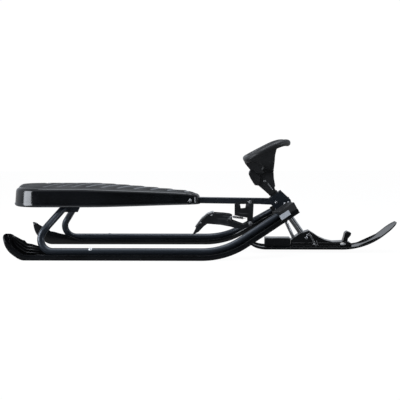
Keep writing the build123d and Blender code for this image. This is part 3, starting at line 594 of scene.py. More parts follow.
def finished(node, radius, segments):
    """A node's merged copy with rounded edges and its finish."""
    bm = joined_copy(node)
    bmesh.ops.dissolve_limit(bm, angle_limit=math.radians(FLAT_WITHIN), verts=bm.verts, edges=bm.edges)
    finish = OWN_FINISH.get(node, finish_for[slot_of[node]])
    piece = show(node + "_finished", bm, body_of[node], finish, scale=1.0)
    soften(piece, radius, segments)
    stand_for(node)


# %% Steel and moulded pieces
STEEL_RADII = {               # millimetres
    "top_tube": 0.4, "left_frame_tube": 0.8, "right_frame_tube": 0.8, "head_tube": 0.6,
    "head_hood": 0.5, "left_head_cheek": 0.5, "right_head_cheek": 0.5, "front_yoke": 0.6,
    "rear_cross_plate": 0.5, "brake_hanger": 0.4,
    "left_brake_claw": 0.6, "right_brake_claw": 0.6, "brake_strip": 0.5, "brake_hub": 0.5,
    "brake_shaft": 0.8, "pedal_bar": 1.5, "steering_shaft": 1.0, "shaft_collar": 0.8,
    "fork_plate": 0.6, "brace_rod": 0.8, "holder_pin": 0.6,
}
MOULDED_RADII = {
    "front_ski": 0.9, "ski_holder": 0.7, "tow_reel_box": 0.6, "tow_knob": 2.2,
    "rear_cover": 2.0, "column_cover": 2.0, "rear_seat_block": 1.0, "front_seat_block": 1.0,
    "left_front_cap": 1.6, "right_front_cap": 1.6, "column_bush": 0.8,
}
# the hood gets the lighter copy of the frame paint, as painted light
OWN_FINISH = {"head_hood": hood_painted_light, "brace_rod": plated}
for segments, radii in ((2, STEEL_RADII), (3, MOULDED_RADII)):
    for node, radius in radii.items():
        finished(node, radius, segments)
    print("softened pieces:", len(radii), "with", segments, "steps round each edge")

# %% Helper: curves and rings
def between(table, at):
    """Reads a value from a short table, level beyond both its ends."""
    if at <= table[0][0]:
        return table[0][1]
    for (a, low), (b, high) in zip(table, table[1:]):
        if at <= b:
            return low + (high - low) * (at - a) / (b - a)
    return table[-1][1]


def chord(radius, off):
    """Half the width of a circle, this far off its middle."""
    return math.sqrt(max(0.0, radius ** 2 - off ** 2))


def loop_edges(bm, points):
    """The edges that have both their ends among these points."""
    inside = set(points)
    return [edge for edge in bm.edges if all(point in inside for point in edge.verts)]


# %% [markdown]
# ## Runners
# A runner is an open channel with a rib that cradles the frame tube. It rises in front with the
# leg, and turns up behind into a spoon whose walls fade out. A sweep along a curve keeps its
# section, so it cannot fade the walls or round the spoon. Here the section is a ring of points
# that is extruded from station to station, and every station has its own wall, rib and width.

# %% The runner's path, in millimetres
TRACK = 200.0                 # from the sled's middle to the runner's
RUNNER_HALF_W = 31.0
RUNNER_WALL = 3.5
TIP_R = 78.0
TIP_STRAIGHT = 8.0            # above the tip's quarter turn
TIP_LENGTH = TIP_STRAIGHT + TIP_R * math.pi / 2
TIP_CENTRE_X = -612.0
KNEE_X = 72.4                 # where the level line meets the sloping one
RISE_R = 246.5
RUNNER_END = (320.0, 92.6, 149.9)
AHEAD = Vector((1.0, 0.0, 0.0))
ACROSS = Vector((0.0, 1.0, 0.0))
UP = Vector((0.0, 0.0, 1.0))


def tip_turn(way):
    """The angle turned up, this many millimetres from the tip's end."""
    return math.pi / 2 - max(0.0, way - TIP_STRAIGHT) / TIP_R


def tip_station(way, side):
    """Point, up and across on the upturned tip."""
    turn = tip_turn(way)
    height = TIP_R * (1 - math.cos(turn)) + max(0.0, TIP_STRAIGHT - way)
    at = Vector((TIP_CENTRE_X - TIP_R * math.sin(turn), side * TRACK, height))
    return at, Vector((math.sin(turn), 0.0, math.cos(turn))), ACROSS


def rise_station(share, side):
    """The same on the bend up to the front leg, and past the bend at the front end."""
    knee = Vector((KNEE_X, side * TRACK, 0.0))
    end = Vector((RUNNER_END[0], side * RUNNER_END[1], RUNNER_END[2]))
    slope = (end - knee).normalized()
    inward = (slope - AHEAD * slope.x).normalized()
    whole = AHEAD.angle(slope)
    angle = whole * min(share, 1.0)
    turned = Matrix.Rotation(angle, 3, AHEAD.cross(slope).normalized())
    ahead = math.sin(angle) - math.tan(whole / 2)
    bend = knee + (AHEAD * ahead + inward * (1 - math.cos(angle))) * RISE_R
    return end if share > 1.0 else bend, turned @ UP, turned @ ACROSS


print("upturned tip", round(TIP_LENGTH, 1), "mm along its underside")

# %% [markdown]
# The section runs once round: along the sole, up the outer wall, over its rounded top, down inside
# and over the low rib and the cradle to the other side. Where a wall or rib has faded out, its
# points still exist and lie on the sole, so every ring has the same number of points.

# %% The runner's section and its fading
LOW_RIB_Y = 17.5
LOW_RIB_H = 9.0
LOW_RIB_FADE = (66.0, 86.0)   # degrees turned up
RIB_OUTLINE = ((1.5, 0.0), (1.2, 0.9), (0.7, 1.0), (-0.7, 1.0), (-1.2, 0.9), (-1.5, 0.0))
CRADLE_Y = 7.5
CRADLE_H = 16.2
CRADLE_DIP = 13.8
CRADLE_RISE = (22.0, 10.0)    # it starts this far past the turn, and is full this much later
SPOON_LENGTH = 30.0           # the outer corner is rounded over this length
SPOON_CUT = 43.0              # and this far across
INNER_LENGTH = 9.0            # the same at the inner corner
INNER_CUT = 8.0
THINNEST = 0.45               # share of the wall's thickness that is left at the tip's end
TIP_ROUND = 30.0              # the walls sink to the tip's edge over this length
TIP_EDGE = 0.3                # share of their height that is left there
TIP_BULGE = 8.0               # the tip's sides stand this far in from its middle
RIDGE = 1.0                   # three low ridges run along the inner wall
RIDGES_AT = (0.78, 0.56, 0.34)
# Wall heights over the sole: (degrees turned up, or millimetres past the turn; height)
OUTER_WALL = ((-40.0, 18.0), (0.0, 19.5), (12.0, 22.5), (42.0, 22.5), (65.0, 15.0), (75.0, 9.0),
              (84.0, 5.0), (90.0, 4.0))
INNER_WALL = ((-112.0, 18.0), (-92.0, 24.0), (-67.0, 34.0), (-52.0, 39.0), (-32.0, 43.0),
              (-12.0, 49.0), (0.0, 51.0), (40.0, 49.0), (64.0, 42.0), (76.0, 36.0),
              (84.0, 32.0), (90.0, 29.0))


def half_section(half, top, low_rib, rib_edge, rib_middle, ridge):
    """Points from the middle of the sole round to the middle of the rib."""
    share = half / RUNNER_HALF_W
    inner = half - RUNNER_WALL * max(share, THINNEST)
    low = RUNNER_WALL
    edge = CRADLE_Y * share
    ridges = []
    for part in RIDGES_AT:
        z = low + (top - low) * part
        ridges += [(inner, z + 1.0), (inner - ridge, z), (inner, z - 1.0)]
    return [
        (0.0, 0.0), (half * 0.35, 0.0), (half * 0.7, 0.0), (half - 1.6, 0.0), (half - 0.5, 0.45),
        (half, 1.6), (half, top - 1.0), (half - 0.35, top - 0.3), (half - 1.1, top),
        (inner + 0.9, top), (inner + 0.25, top - 0.3), (inner, top - 1.0), *ridges,
        (inner, low + 0.9), (inner - 0.9, low),
        *((LOW_RIB_Y * share + y, low + low_rib * z) for y, z in RIB_OUTLINE),
        (edge + 0.5, low), (edge, low + 0.5), (edge, rib_edge - 0.5), (edge - 0.5, rib_edge),
        (edge * 0.5, (rib_edge + rib_middle) / 2 - 0.5), (0.0, rib_middle),
    ]


def rounded_off(way, length):
    """Rises from 0 at the tip's end to 1 at this length, as a quarter circle does."""
    return chord(1.0, max(0.0, 1.0 - way / length))


def whole_section(way, side):
    """The full ring at a place this far from the tip's end, with the inner side on its right."""
    turned = math.degrees(tip_turn(way)) if way < TIP_LENGTH else TIP_LENGTH - way
    outer = RUNNER_HALF_W - SPOON_CUT * (1.0 - rounded_off(way, SPOON_LENGTH))
    inner = RUNNER_HALF_W - INNER_CUT * (1.0 - rounded_off(way, INNER_LENGTH))
    shift, half = (outer - inner) / 2, (outer + inner) / 2
    low = (LOW_RIB_H - RUNNER_WALL) * between(((LOW_RIB_FADE[0], 1.0), (LOW_RIB_FADE[1], 0.0)), turned)
    ahead = eased((-turned - CRADLE_RISE[0]) / CRADLE_RISE[1])
    edge, middle = (RUNNER_WALL + low + (height - RUNNER_WALL - low) * ahead
                    for height in (CRADLE_H, CRADLE_DIP))
    ridge = RIDGE * eased((turned + 70.0) / 60.0)
    outer_half = half_section(half, between(OUTER_WALL, turned), low, edge, middle, 0.0)
    inner_half = half_section(half, between(INNER_WALL, turned), low, edge, middle, ridge)
    ring = outer_half + [(-out, z) for out, z in inner_half[-2:0:-1]]
    bulge = TIP_BULGE * eased(turned / 40.0)
    height = TIP_EDGE + (1.0 - TIP_EDGE) * rounded_off(way, TIP_ROUND)
    return [(side * (out + shift), (z + bulge * ((out + shift) / RUNNER_HALF_W) ** 2) * height)
            for out, z in ring]


print("points round the section:", len(whole_section(TIP_LENGTH, 1)))

# %% From station to station
TIP_WAYS = (0.0, 0.7, 1.6, 3.0, 5.0, 8.0, 12.0, 17.0, 23.0, 30.0)
TIP_STEPS = 22                # even ones after those
PAST_TIP = (6.0, 12.0, 18.0, 22.0, 24.0, 27.0, 30.0, 32.0, 40.0, 52.0, 67.0, 80.0, 92.0, 112.0,
            300.0, 500.0)
RISE_STEPS = 20


def runner_stations(side):
    """Every station with its ring, from the tip's end to the front end."""
    last = TIP_WAYS[-1]
    ways = list(TIP_WAYS)
    ways += [last + (TIP_LENGTH - last) * i / TIP_STEPS for i in range(1, TIP_STEPS + 1)]
    found = [(tip_station(way, side), whole_section(way, side)) for way in ways]
    for past in PAST_TIP:
        at = Vector((TIP_CENTRE_X + past, side * TRACK, 0.0))
        found.append(((at, UP, ACROSS), whole_section(TIP_LENGTH + past, side)))
    plain = found[-1][1]
    shares = [i / RISE_STEPS for i in range(RISE_STEPS + 1)] + [2.0]
    return found + [(rise_station(share, side), plain) for share in shares]


def runner_skin(side):
    stations = runner_stations(side)
    bm = bmesh.new()
    bmesh.ops.create_circle(bm, segments=len(stations[0][1]), radius=1.0, cap_ends=False)
    ring = list(bm.verts)
    for i, ((at, up, across), section) in enumerate(stations):
        if i:
            grown = bmesh.ops.extrude_edge_only(bm, edges=edges)["geom"]
            fresh = {g for g in grown if isinstance(g, bmesh.types.BMVert)}
            ring = [next(e.other_vert(v) for e in v.link_edges if e.other_vert(v) in fresh)
                    for v in ring]
        for point, (y, z) in zip(ring, section):
            point.co = at + across * y + up * z
        edges = loop_edges(bm, ring)
    bmesh.ops.edgeloop_fill(bm, edges=[e for e in bm.edges if e.is_boundary])
    bmesh.ops.recalc_face_normals(bm, faces=bm.faces)
    return bm


for name, side in (("left_runner", 1), ("right_runner", -1)):
    piece = show(name + "_finished", runner_skin(side), "frame", gloss, sharp=40.0)
    stand_for(name)
    print(name, "faces:", len(piece.data.polygons))

# %% [markdown]
# ## Steering wheel
# The wheel is one thick moulding: rim, wings and boss flow into each other. In the CAD they are
# joined with hard creases. A voxel remesh turns the whole wheel into one even skin, and a few
# passes of smoothing then melt the creases into the fillets that the tool has.

# %% Wheel
WHEEL_VOXEL = 0.0020
WHEEL_SMOOTHING = 7


def evaluated(piece):
    """The piece as it is with its modifiers."""
    return piece.evaluated_get(bpy.context.evaluated_depsgraph_get())


wheel = show("steering_wheel_finished", joined_copy("steering_wheel"), "steering", matte, scale=1.0)
skin = wheel.modifiers.new("skin", "REMESH")
skin.mode = "VOXEL"
skin.voxel_size = WHEEL_VOXEL
skin.use_smooth_shade = True
relax = wheel.modifiers.new("relax", "SMOOTH")
relax.factor = 0.5
relax.iterations = WHEEL_SMOOTHING
settled = bpy.data.meshes.new_from_object(evaluated(wheel))
wheel.modifiers.clear()
wheel.data = settled
settled.shade_smooth()
stand_for("steering_wheel")
print("wheel faces:", len(settled.polygons))

# %% [markdown]
# ## Seat
# The seat is a thin shell like an upturned tray: a crowned top with a row of V-shaped pads, a
# rounded edge and a straight skirt with a small lip at its foot. It could be cut from the CAD
# solid, but the pads follow slanted lines, and a mesh takes slanted lines best when its own rows
# run along them. So a flat grid is laid out with its rows along the V, lifted to the crown, and
# then its rim is extruded ring by ring: round the edge, down the skirt and out into the lip.

# %% The seat's plan and crown, in millimetres
SEAT_REAR_X = -684.0
SEAT_NOSE_X = -22.0
SEAT_W = 300.0
SEAT_NOSE_W = 80.0
SEAT_FULL_UNTIL_X = -430.0
SEAT_TAPER = 0.95             # share of the taper that is used, so the nose is still narrowing
SEAT_CORNER_R = 105.0
SEAT_WALL = 3.5
SEAT_FOOT_Z = 175.5
SEAT_TOP_Z = 250.0
SEAT_FALL = 33.0              # the middle line falls this much towards the nose
SEAT_NOSE_DROP = 14.0         # and this much more on the round nose
SEAT_NOSE_ROUND = 64.0        # the round nose is this long
SEAT_REAR_DROP = 3.0          # and this much again at its very rear
SEAT_REAR_ROUND = 50.0
SEAT_CROWN = 9.0
SEAT_EDGE_R = 15.0
NOSE_DEPTH = 28.0             # the nose is an arc this deep

CORNER_X = SEAT_REAR_X + SEAT_CORNER_R
CORNER_Y = SEAT_W / 2 - SEAT_CORNER_R
TOP_CORNER_R = SEAT_CORNER_R - SEAT_EDGE_R
NOSE_R = (NOSE_DEPTH ** 2 + (SEAT_NOSE_W / 2) ** 2) / (2 * NOSE_DEPTH)
NOSE_CENTRE_X = SEAT_NOSE_X - NOSE_R
TOP_NOSE_R = NOSE_R - SEAT_EDGE_R


def taper_share(x):
    return (x - SEAT_FULL_UNTIL_X) / (SEAT_NOSE_X - SEAT_FULL_UNTIL_X)


def seat_half_width(x):
    return SEAT_W / 2 + (SEAT_NOSE_W - SEAT_W) / 2 * eased(taper_share(x) * SEAT_TAPER)


def seat_crest(x):
    """Height of the seat's middle line."""
    fall = SEAT_FALL * max(0.0, taper_share(x)) ** 1.3
    nose = SEAT_NOSE_DROP * max(0.0, (x - SEAT_NOSE_X) / SEAT_NOSE_ROUND + 1) ** 3
    rear = SEAT_REAR_DROP * max(0.0, (SEAT_REAR_X - x) / SEAT_REAR_ROUND + 1) ** 2
    return SEAT_TOP_Z - fall - nose - rear


def top_half_width(x):
    """Half the width of the top, inside its rounded edge."""
    half = seat_half_width(x) - SEAT_EDGE_R
    if x < CORNER_X:
        half = min(half, CORNER_Y + chord(TOP_CORNER_R, CORNER_X - x))
    if x > NOSE_CENTRE_X:
        half = min(half, chord(TOP_NOSE_R, x - NOSE_CENTRE_X))
    return half


print("seat", SEAT_NOSE_X - SEAT_REAR_X, "mm long and", SEAT_W, "mm wide")

# %% [markdown]
# The rows are closest where the shape changes fastest: round the rear corners, at both sides of
# each groove between two pads, and round the nose. The slant fades out towards both ends, where
# the rows have to meet the straight rear edge and the nose.

# %% The grid's rows
PAD_FRONT_X = -67.0           # front end of the first pad, in the middle of the seat
PAD_PITCH = 50.5
PADS = 10
PAD_SLANT = 0.42              # how far a groove runs back per millimetre outwards
PAD_ROWS = (0.0, 0.035, 0.09, 0.20, 0.36, 0.5, 0.64, 0.80, 0.91, 0.965)
REAR_FADE = 120.0             # the slant fades out over these lengths
NOSE_FADE = 60.0
REAR_ROWS = 13
NOSE_ROWS = 9
NOSE_TURN = 0.84              # share of a quarter turn, up to the last row
COLUMNS = 52


def seat_rows():
    """Places of the grid's rows along the seat's middle, from its rear to its nose."""
    quarter = math.pi / 2
    last_groove = PAD_FRONT_X - PADS * PAD_PITCH
    rear = [CORNER_X - TOP_CORNER_R * math.cos(quarter * i / REAR_ROWS) for i in range(REAR_ROWS)]
    pads = [last_groove + (k + share) * PAD_PITCH for k in range(PADS) for share in PAD_ROWS]
    nose = [NOSE_CENTRE_X + TOP_NOSE_R * math.sin(quarter * NOSE_TURN * i / NOSE_ROWS)
            for i in range(1, NOSE_ROWS + 1)]
    return [x for x in rear if x < last_groove - 4] + pads + [PAD_FRONT_X] + nose


ROWS = seat_rows()


def on_top(row, across):
    """Plan position of a grid point: its row, and -1 to 1 across the seat."""
    slant = PAD_SLANT * eased((row - ROWS[0]) / REAR_FADE) * eased((ROWS[-1] - row) / NOSE_FADE)
    x = row
    for _ in range(8):
        y = across * top_half_width(x)
        x = row - slant * abs(y)
    return x, y


print("rows along the seat:", len(ROWS))

# %% [markdown]
# Each pad is level from front to rear where the seat slopes, so its front edge stands a little
# proud, like a step. Between two pads runs a narrow groove, coloured pale grey: a painted highlight
# along it. Both fade out near the sides, where the top keeps a smooth border.

# %% Lay the grid on the seat
GROOVE_DEPTH = 2.2
GROOVE_HIGHLIGHT_SHARE = 0.065          # share of a pad's length that is painted pale grey as a highlight, on each side of a groove
GROOVE_SHARE = 0.10           # and the share that sinks
PAD_LEVELLING = 0.62
BORDER_FROM = 0.74            # share of the half width where the pads start to fade
BORDER_TO = 0.88
TINY = 1e-6
SKIRT_SLOT, GROOVE_SLOT = 1, 2         # the seat's materials after that of its top


def top_height(row, x, y):
    half = max(top_half_width(x), 1.0)
    height = seat_crest(x) - SEAT_CROWN * seat_half_width(x) / (SEAT_W / 2) * (y / half) ** 2
    pad = (PAD_FRONT_X - row) / PAD_PITCH
    if pad < -TINY or pad > PADS + TINY:
        return height
    share = (pad + TINY) % 1.0 if pad < PADS else 1.0
    groove = GROOVE_DEPTH * (1 - eased(min(share, 1 - share) / GROOVE_SHARE))
    middle = x + (share - 0.5) * PAD_PITCH
    level = PAD_LEVELLING * (seat_crest(middle) - seat_crest(x))
    fade = 1 - eased((abs(y) / half - BORDER_FROM) / (BORDER_TO - BORDER_FROM))
    return height + (level - groove) * fade


def seat_top():
    bm = bmesh.new()
    place_in = {}
    bmesh.ops.create_grid(bm, x_segments=len(ROWS) - 1, y_segments=COLUMNS, size=1.0)
    for point in bm.verts:
        row = ROWS[round((point.co.x + 1) / 2 * (len(ROWS) - 1))]
        x, y = on_top(row, point.co.y)
        place_in[point] = (row, abs(point.co.y))
        point.co = (x, y, top_height(row, x, y))
    for face in bm.faces:
        row = sum(place_in[p][0] for p in face.verts) / 4
        out = max(place_in[p][1] for p in face.verts)
        pad = (PAD_FRONT_X - row) / PAD_PITCH
        # faces along each groove get the pale grey finish, a painted highlight
        if out < BORDER_TO and 0 <= round(pad) <= PADS and abs(pad - round(pad)) < GROOVE_HIGHLIGHT_SHARE:
            face.material_index = GROOVE_SLOT
    return bm


seat_bm = seat_top()
print("points in the seat's top:", len(seat_bm.verts))

# %% [markdown]
# The rim's outward direction comes from its two neighbours on the rim. Every new ring is the old
# rim extruded and set down at its own distance outwards and its own height. The skirt leans out a
# little towards its foot, more at the rear, so that it leaves the mould.

# %% Extrude the edge, the skirt and the lip
EDGE_RINGS = 6
SKIRT_RINGS = 4
SKIRT_DRAFT = 1.0
REAR_DRAFT = 2.4              # added to it at the rear
REAR_DRAFT_FROM_X = -600.0
REAR_DRAFT_OVER = 70.0
REAR_LIFT = 14.0              # the foot rises this much at the rear
REAR_LIFT_FROM_X = -636.0
LIP_OUT = 2.2
LIP_H = 2.6
LIP_OUTLINE = ((0.4, 0.3), (1.0, 0.6), (1.0, 1.0))   # shares outwards and down


def rim_of(bm):
    return [edge for edge in bm.edges if edge.is_boundary]


def outward_at_rim(bm):
    """Unit vectors in the plan that point away from the seat at each rim point."""
    outward = {}
    for edge in rim_of(bm):
        first, second = edge.verts
        normal = Vector((second.co.y - first.co.y, first.co.x - second.co.x, 0.0)).normalized()
        if normal.dot(edge.link_faces[0].calc_center_median() - first.co) > 0:
            normal.negate()
        for point in edge.verts:
            outward[point] = outward.get(point, Vector()) + normal
    return {point: total.normalized() for point, total in outward.items()}


def ring_heights(x, edge_z):
    """Distance outwards and height of each ring, from the top's edge down to the lip."""
    rings = []
    for i in range(1, EDGE_RINGS + 1):
        angle = math.pi / 2 * i / EDGE_RINGS
        rings.append((SEAT_EDGE_R * math.sin(angle), edge_z - SEAT_EDGE_R * (1 - math.cos(angle))))
    top = edge_z - SEAT_EDGE_R
    lift = REAR_LIFT * eased((REAR_LIFT_FROM_X - x) / (REAR_LIFT_FROM_X - SEAT_REAR_X)) ** 2
    foot = SEAT_FOOT_Z + lift + LIP_H
    draft = SKIRT_DRAFT + REAR_DRAFT * eased((REAR_DRAFT_FROM_X - x) / REAR_DRAFT_OVER)
    for i in range(1, SKIRT_RINGS + 1):
        share = i / SKIRT_RINGS
        rings.append((SEAT_EDGE_R + draft * share, top + (foot - top) * share))
    for out, down in LIP_OUTLINE:
        rings.append((SEAT_EDGE_R + draft + LIP_OUT * out, foot - LIP_H * down))
    return rings


def add_skirt(bm):
    outward = outward_at_rim(bm)
    plans = {p: (p.co.copy(), out, ring_heights(p.co.x, p.co.z)) for p, out in outward.items()}
    rim = rim_of(bm)
    for i in range(EDGE_RINGS + SKIRT_RINGS + len(LIP_OUTLINE)):
        grown = bmesh.ops.extrude_edge_only(bm, edges=rim)["geom"]
        new_points = {g for g in grown if isinstance(g, bmesh.types.BMVert)}
        rim = [g for g in grown if isinstance(g, bmesh.types.BMEdge)
               and all(p in new_points for p in g.verts)]
        above = {}
        for point in new_points:
            old = next(e.other_vert(point) for e in point.link_edges
                       if e.other_vert(point) not in new_points)
            above[point] = plans[old]
        for point, (foot, out, rings) in above.items():
            point.co = foot + out * rings[i][0]
            point.co.z = rings[i][1]
        for face in {f for edge in rim for f in edge.link_faces}:
            face.material_index = SKIRT_SLOT
        plans = above


add_skirt(seat_bm)
print("faces in the seat's skin:", len(seat_bm.faces))

# %% [markdown]
# The top tube leaves the seat through a slot in the nose. Three cuts with planes make the slot's
# outline in the skin, and the faces between them are deleted, before the skin gets its wall.

# %% Cut the tube's slot in the nose
SLOT_HALF = 13.5
SLOT_TOP = 200.2
SLOT_FROM_X = -60.0


def cut_slot(bm):
    for at, normal in ((ACROSS * SLOT_HALF, ACROSS), (ACROSS * -SLOT_HALF, ACROSS), (UP * SLOT_TOP, UP)):
        near = [f for f in bm.faces if f.calc_center_median().x > SLOT_FROM_X]
        parts = near + list({e for f in near for e in f.edges}) + list({v for f in near for v in f.verts})
        bmesh.ops.bisect_plane(bm, geom=parts, plane_co=at, plane_no=normal)
    middles = {face: face.calc_center_median() for face in bm.faces}
    inside = [face for face, at in middles.items()
              if at.x > SLOT_FROM_X and abs(at.y) < SLOT_HALF and at.z < SLOT_TOP]
    bmesh.ops.delete(bm, geom=inside, context="FACES")
    return len(inside)


print("faces cut away:", cut_slot(seat_bm))

# %% Give the seat its wall
bmesh.ops.recalc_face_normals(seat_bm, faces=seat_bm.faces)
seat = show("seat_shell", seat_bm, "frame", seat_satin, skirt_gloss, groove_painted_highlight, sharp=55.0)
wall = seat.modifiers.new("moulded_wall", "SOLIDIFY")
wall.thickness = SEAT_WALL * MM
wall.offset = -1.0
wall.use_even_offset = True
wall.material_offset = 0
stand_for("seat")
print("seat wall", SEAT_WALL, "mm")

# %% [markdown]
# ## Fasteners
# The pieces are held by bolts, nuts and screws. Each kind is one short spin profile or a six-sided
# disc, set down wherever one is needed and turned to face outwards. All that sit on one body are
# joined in one piece, because they share a finish and a movement.

# %% Helper: bolts, nuts and washers
SEAM_WITHIN = 0.001           # points of a round part that are closer than this are joined


def turned_to(direction, at):
    """Places +Z of a small part along a direction, at a point in millimetres."""
    turn = Vector(direction).to_track_quat("Z", "Y").to_matrix().to_4x4()
    return Matrix.Translation(Vector(at)) @ turn


def spun(bm, profile, at, direction, steps=24):
    """A round part from its half outline: pairs of radius and height."""
    points = [bm.verts.new((r, 0.0, z)) for r, z in profile]
    edges = [bm.edges.new(pair) for pair in zip(points, points[1:])]
    made = bmesh.ops.spin(bm, geom=points + edges, cent=(0, 0, 0), axis=UP, steps=steps,
                          angle=math.tau, use_merge=True)
    fresh = set(points) | {g for g in made["geom_last"] if isinstance(g, bmesh.types.BMVert)}
    reached = list(fresh)
    for point in reached:
        for edge in point.link_edges:
            other = edge.other_vert(point)
            if other not in fresh:
                fresh.add(other)
                reached.append(other)
    bmesh.ops.transform(bm, matrix=turned_to(direction, at), verts=reached)
    bmesh.ops.remove_doubles(bm, verts=reached, dist=SEAM_WITHIN)


def washer(bm, at, direction, outer, thick):
    profile = [(0, 0), (outer, 0), (outer, thick - 0.3), (outer - 0.3, thick), (0, thick)]
    spun(bm, profile, at, direction)


def button_head(bm, at, direction, radius, height):
    """A domed head with a round socket sunk in its middle."""
    socket = radius * 0.42
    dome = [(0, height * 0.35), (socket, height * 0.35), (socket, height)]
    for i in range(1, 6):
        angle = math.pi / 2 * i / 5
        dome.append((socket + (radius - socket) * math.sin(angle), height * math.cos(angle)))
    spun(bm, dome + [(0, 0)], at, direction)


def hex_nut(bm, at, direction, across, height):
    """Six sides with chamfered corners, and the bolt's end standing out of it."""
    corner = across / math.sqrt(3)
    verts = bmesh.ops.create_cone(bm, cap_ends=True, segments=6, radius1=corner, radius2=corner,
                                  depth=height)["verts"]
    rims = list({e for v in verts for e in v.link_edges
                 if abs(e.calc_face_angle(0) - math.pi / 2) < 0.1})
    bevelled = bmesh.ops.bevel(bm, geom=rims, offset=across * 0.05, segments=1, profile=0.5,
                               affect="EDGES", material=-1)
    verts = list({v for v in verts if v.is_valid} | set(bevelled["verts"]))
    bmesh.ops.translate(bm, vec=(0, 0, height / 2), verts=verts)
    bmesh.ops.transform(bm, matrix=turned_to(direction, at), verts=verts)
    shank = across * 0.29
    end = [(0, height + 1.6), (shank - 0.6, height + 1.6), (shank, height + 1.0), (shank, height * 0.6)]
    spun(bm, end, at, direction, steps=16)


def screwed(bm, at, direction, disc, thick, head, size, height, sunk=0.0):
    """A washer with a bolt's head or a nut on it."""
    at, direction = Vector(at), Vector(direction)
    washer(bm, at, direction, disc, thick)
    head(bm, at + direction * (thick - sunk), direction, size, height)


def both_sides(bm, action, x, y, z, *sizes):
    """The same part on the right and the left, facing outwards."""
    for side in (-1, 1):
        action(bm, (x, side * y, z), (0, side, 0), *sizes)


# %% Helper: places on the pieces
OUTSIDE = 400.0               # further out than any piece


def box_mm(node):
    low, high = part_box(node)
    return Vector(low) * 1000, Vector(high) * 1000


def left_face(node):
    """How far to the left a node reaches, in millimetres."""
    return box_mm(node)[1].y


def on_skin(piece, side, x, z):
    """Where a level line from one side meets a piece, and which way the surface faces there."""
    start = Vector((x, side * OUTSIDE, z)) * MM
    at, facing = evaluated(piece).ray_cast(start, -side * ACROSS)[1:3]
    return at * 1000, facing


def extra(name, bm, body, finish=plated, sharp=SHARP):
    """A piece that stands for no node. A spin can turn a part inside out, so all face outwards here."""
    bmesh.ops.recalc_face_normals(bm, faces=bm.faces)
    piece = show(name, bm, body, finish, sharp=sharp)
    print(name, "faces:", len(piece.data.polygons))
    return piece


# %% Fasteners on the frame, with places as x and z
CHEEK_SCREWS = ((254.5, 180.0), (285.0, 176.0), (298.0, 180.0))
HANGER_BOLT = (160.0, 181.0)
RUNNER_SCREW = (-389.0, 26.5)        # in the middle of the frame tube
RUNNER_SCREW_LEAN = (0.64, 0.77)     # outwards and up
RUNNER_SCREW_OUT = 12.2              # from the tube's middle to its skin
TOP_TUBE_LINE = ((-520.0, 195.5), (238.0, 183.5))
TOP_TUBE_H = 22.0

bolts = bmesh.new()
for x, z in CHEEK_SCREWS:
    both_sides(bolts, screwed, x, left_face("left_head_cheek"), z, 5.0, 0.8, button_head, 4.0, 2.2)
both_sides(bolts, screwed, HANGER_BOLT[0], left_face("brake_hanger"), HANGER_BOLT[1],
           6.5, 1.0, hex_nut, 7.0, 4.0)
for side in (-1, 1):
    outward = Vector((0, side * RUNNER_SCREW_LEAN[0], RUNNER_SCREW_LEAN[1]))
    at = Vector((RUNNER_SCREW[0], side * TRACK, RUNNER_SCREW[1])) + outward * RUNNER_SCREW_OUT
    screwed(bolts, at, outward, 6.0, 1.2, button_head, 4.5, 2.4, sunk=0.2)
low, high = box_mm("brake_shaft")
both_sides(bolts, screwed, (low.x + high.x) / 2, high.y - 1.4, (low.z + high.z) / 2,
           8.0, 1.2, hex_nut, 10.0, 4.5)
for block in ("rear_seat_block", "front_seat_block"):
    low, high = box_mm(block)
    x = (low.x + high.x) / 2
    under = between(TOP_TUBE_LINE, x) - TOP_TUBE_H / 2
    screwed(bolts, (x, 0, under), -UP, 7.0, 1.2, hex_nut, 10.0, 5.0)
extra("frame_fasteners", bolts, "frame")

# %% Bolts through the seat's nose
NOSE_BOLT = (-56.0, 188.0)

bolts = bmesh.new()
for side in (-1, 1):
    at, facing = on_skin(seat, side, *NOSE_BOLT)
    screwed(bolts, at - facing * 0.4, facing, 7.0, 1.4, button_head, 5.0, 2.6, sunk=0.2)
extra("nose_bolts", bolts, "frame")
print("nose bolt at", [round(v, 1) for v in at])

# %% Fasteners on the steering and on the brake
COVER_SCREW = (213.0, 258.0)
HOLDER_SCREWS = ((366.0, 62.0), (390.0, 29.0))
CLAW_BOLT = (91.0, 127.0)
STRIP_SCREWS = ((-18.0, 106.0), (22.0, 134.0))
cover_y = left_face("column_cover")
holder_y = left_face("ski_holder")
plate_y = left_face("left_brake_claw")

bolts = bmesh.new()
both_sides(bolts, button_head, COVER_SCREW[0], cover_y, COVER_SCREW[1], 5.0, 2.4)
low, high = box_mm("holder_pin")
both_sides(bolts, button_head, (low.x + high.x) / 2, high.y - 0.4, (low.z + high.z) / 2, 5.6, 2.8)
for x, z in HOLDER_SCREWS:
    both_sides(bolts, button_head, x, holder_y, z, 3.6, 2.0)
extra("steering_fasteners", bolts, "steering")

bolts = bmesh.new()
both_sides(bolts, hex_nut, CLAW_BOLT[0], plate_y, CLAW_BOLT[1], 8.0, 4.0)
for x, z in STRIP_SCREWS:
    both_sides(bolts, button_head, x, plate_y, z, 3.4, 1.8)
extra("brake_fasteners", bolts, "brake")

# %% [markdown]
# ## Brake spring
# A tension spring pulls the claws up again after braking. It is one wire wound close, with a hook
# at each end: one round a cross pin between the claw plates, the other through the hanger's foot.
# A circle is spun along the helix, so the wire stays round. The spring's two ends belong to two
# bodies, but here it is left as one fixed piece on neither of them.

# %% Spring and its pin
SPRING_FROM = Vector((98.0, 0.0, 126.0))
SPRING_TO = Vector((136.0, 0.0, 121.0))
SPRING_R = 4.2
HOOK_R = 3.6
HOOK_TURN = 0.9               # share of a full turn
WIRE_R = 0.75
WIRE_SIDES = 6
COILS = 16
COIL_STEPS = 16
HOOK_STEPS = 24
SPRING_PIN_R = 2.0


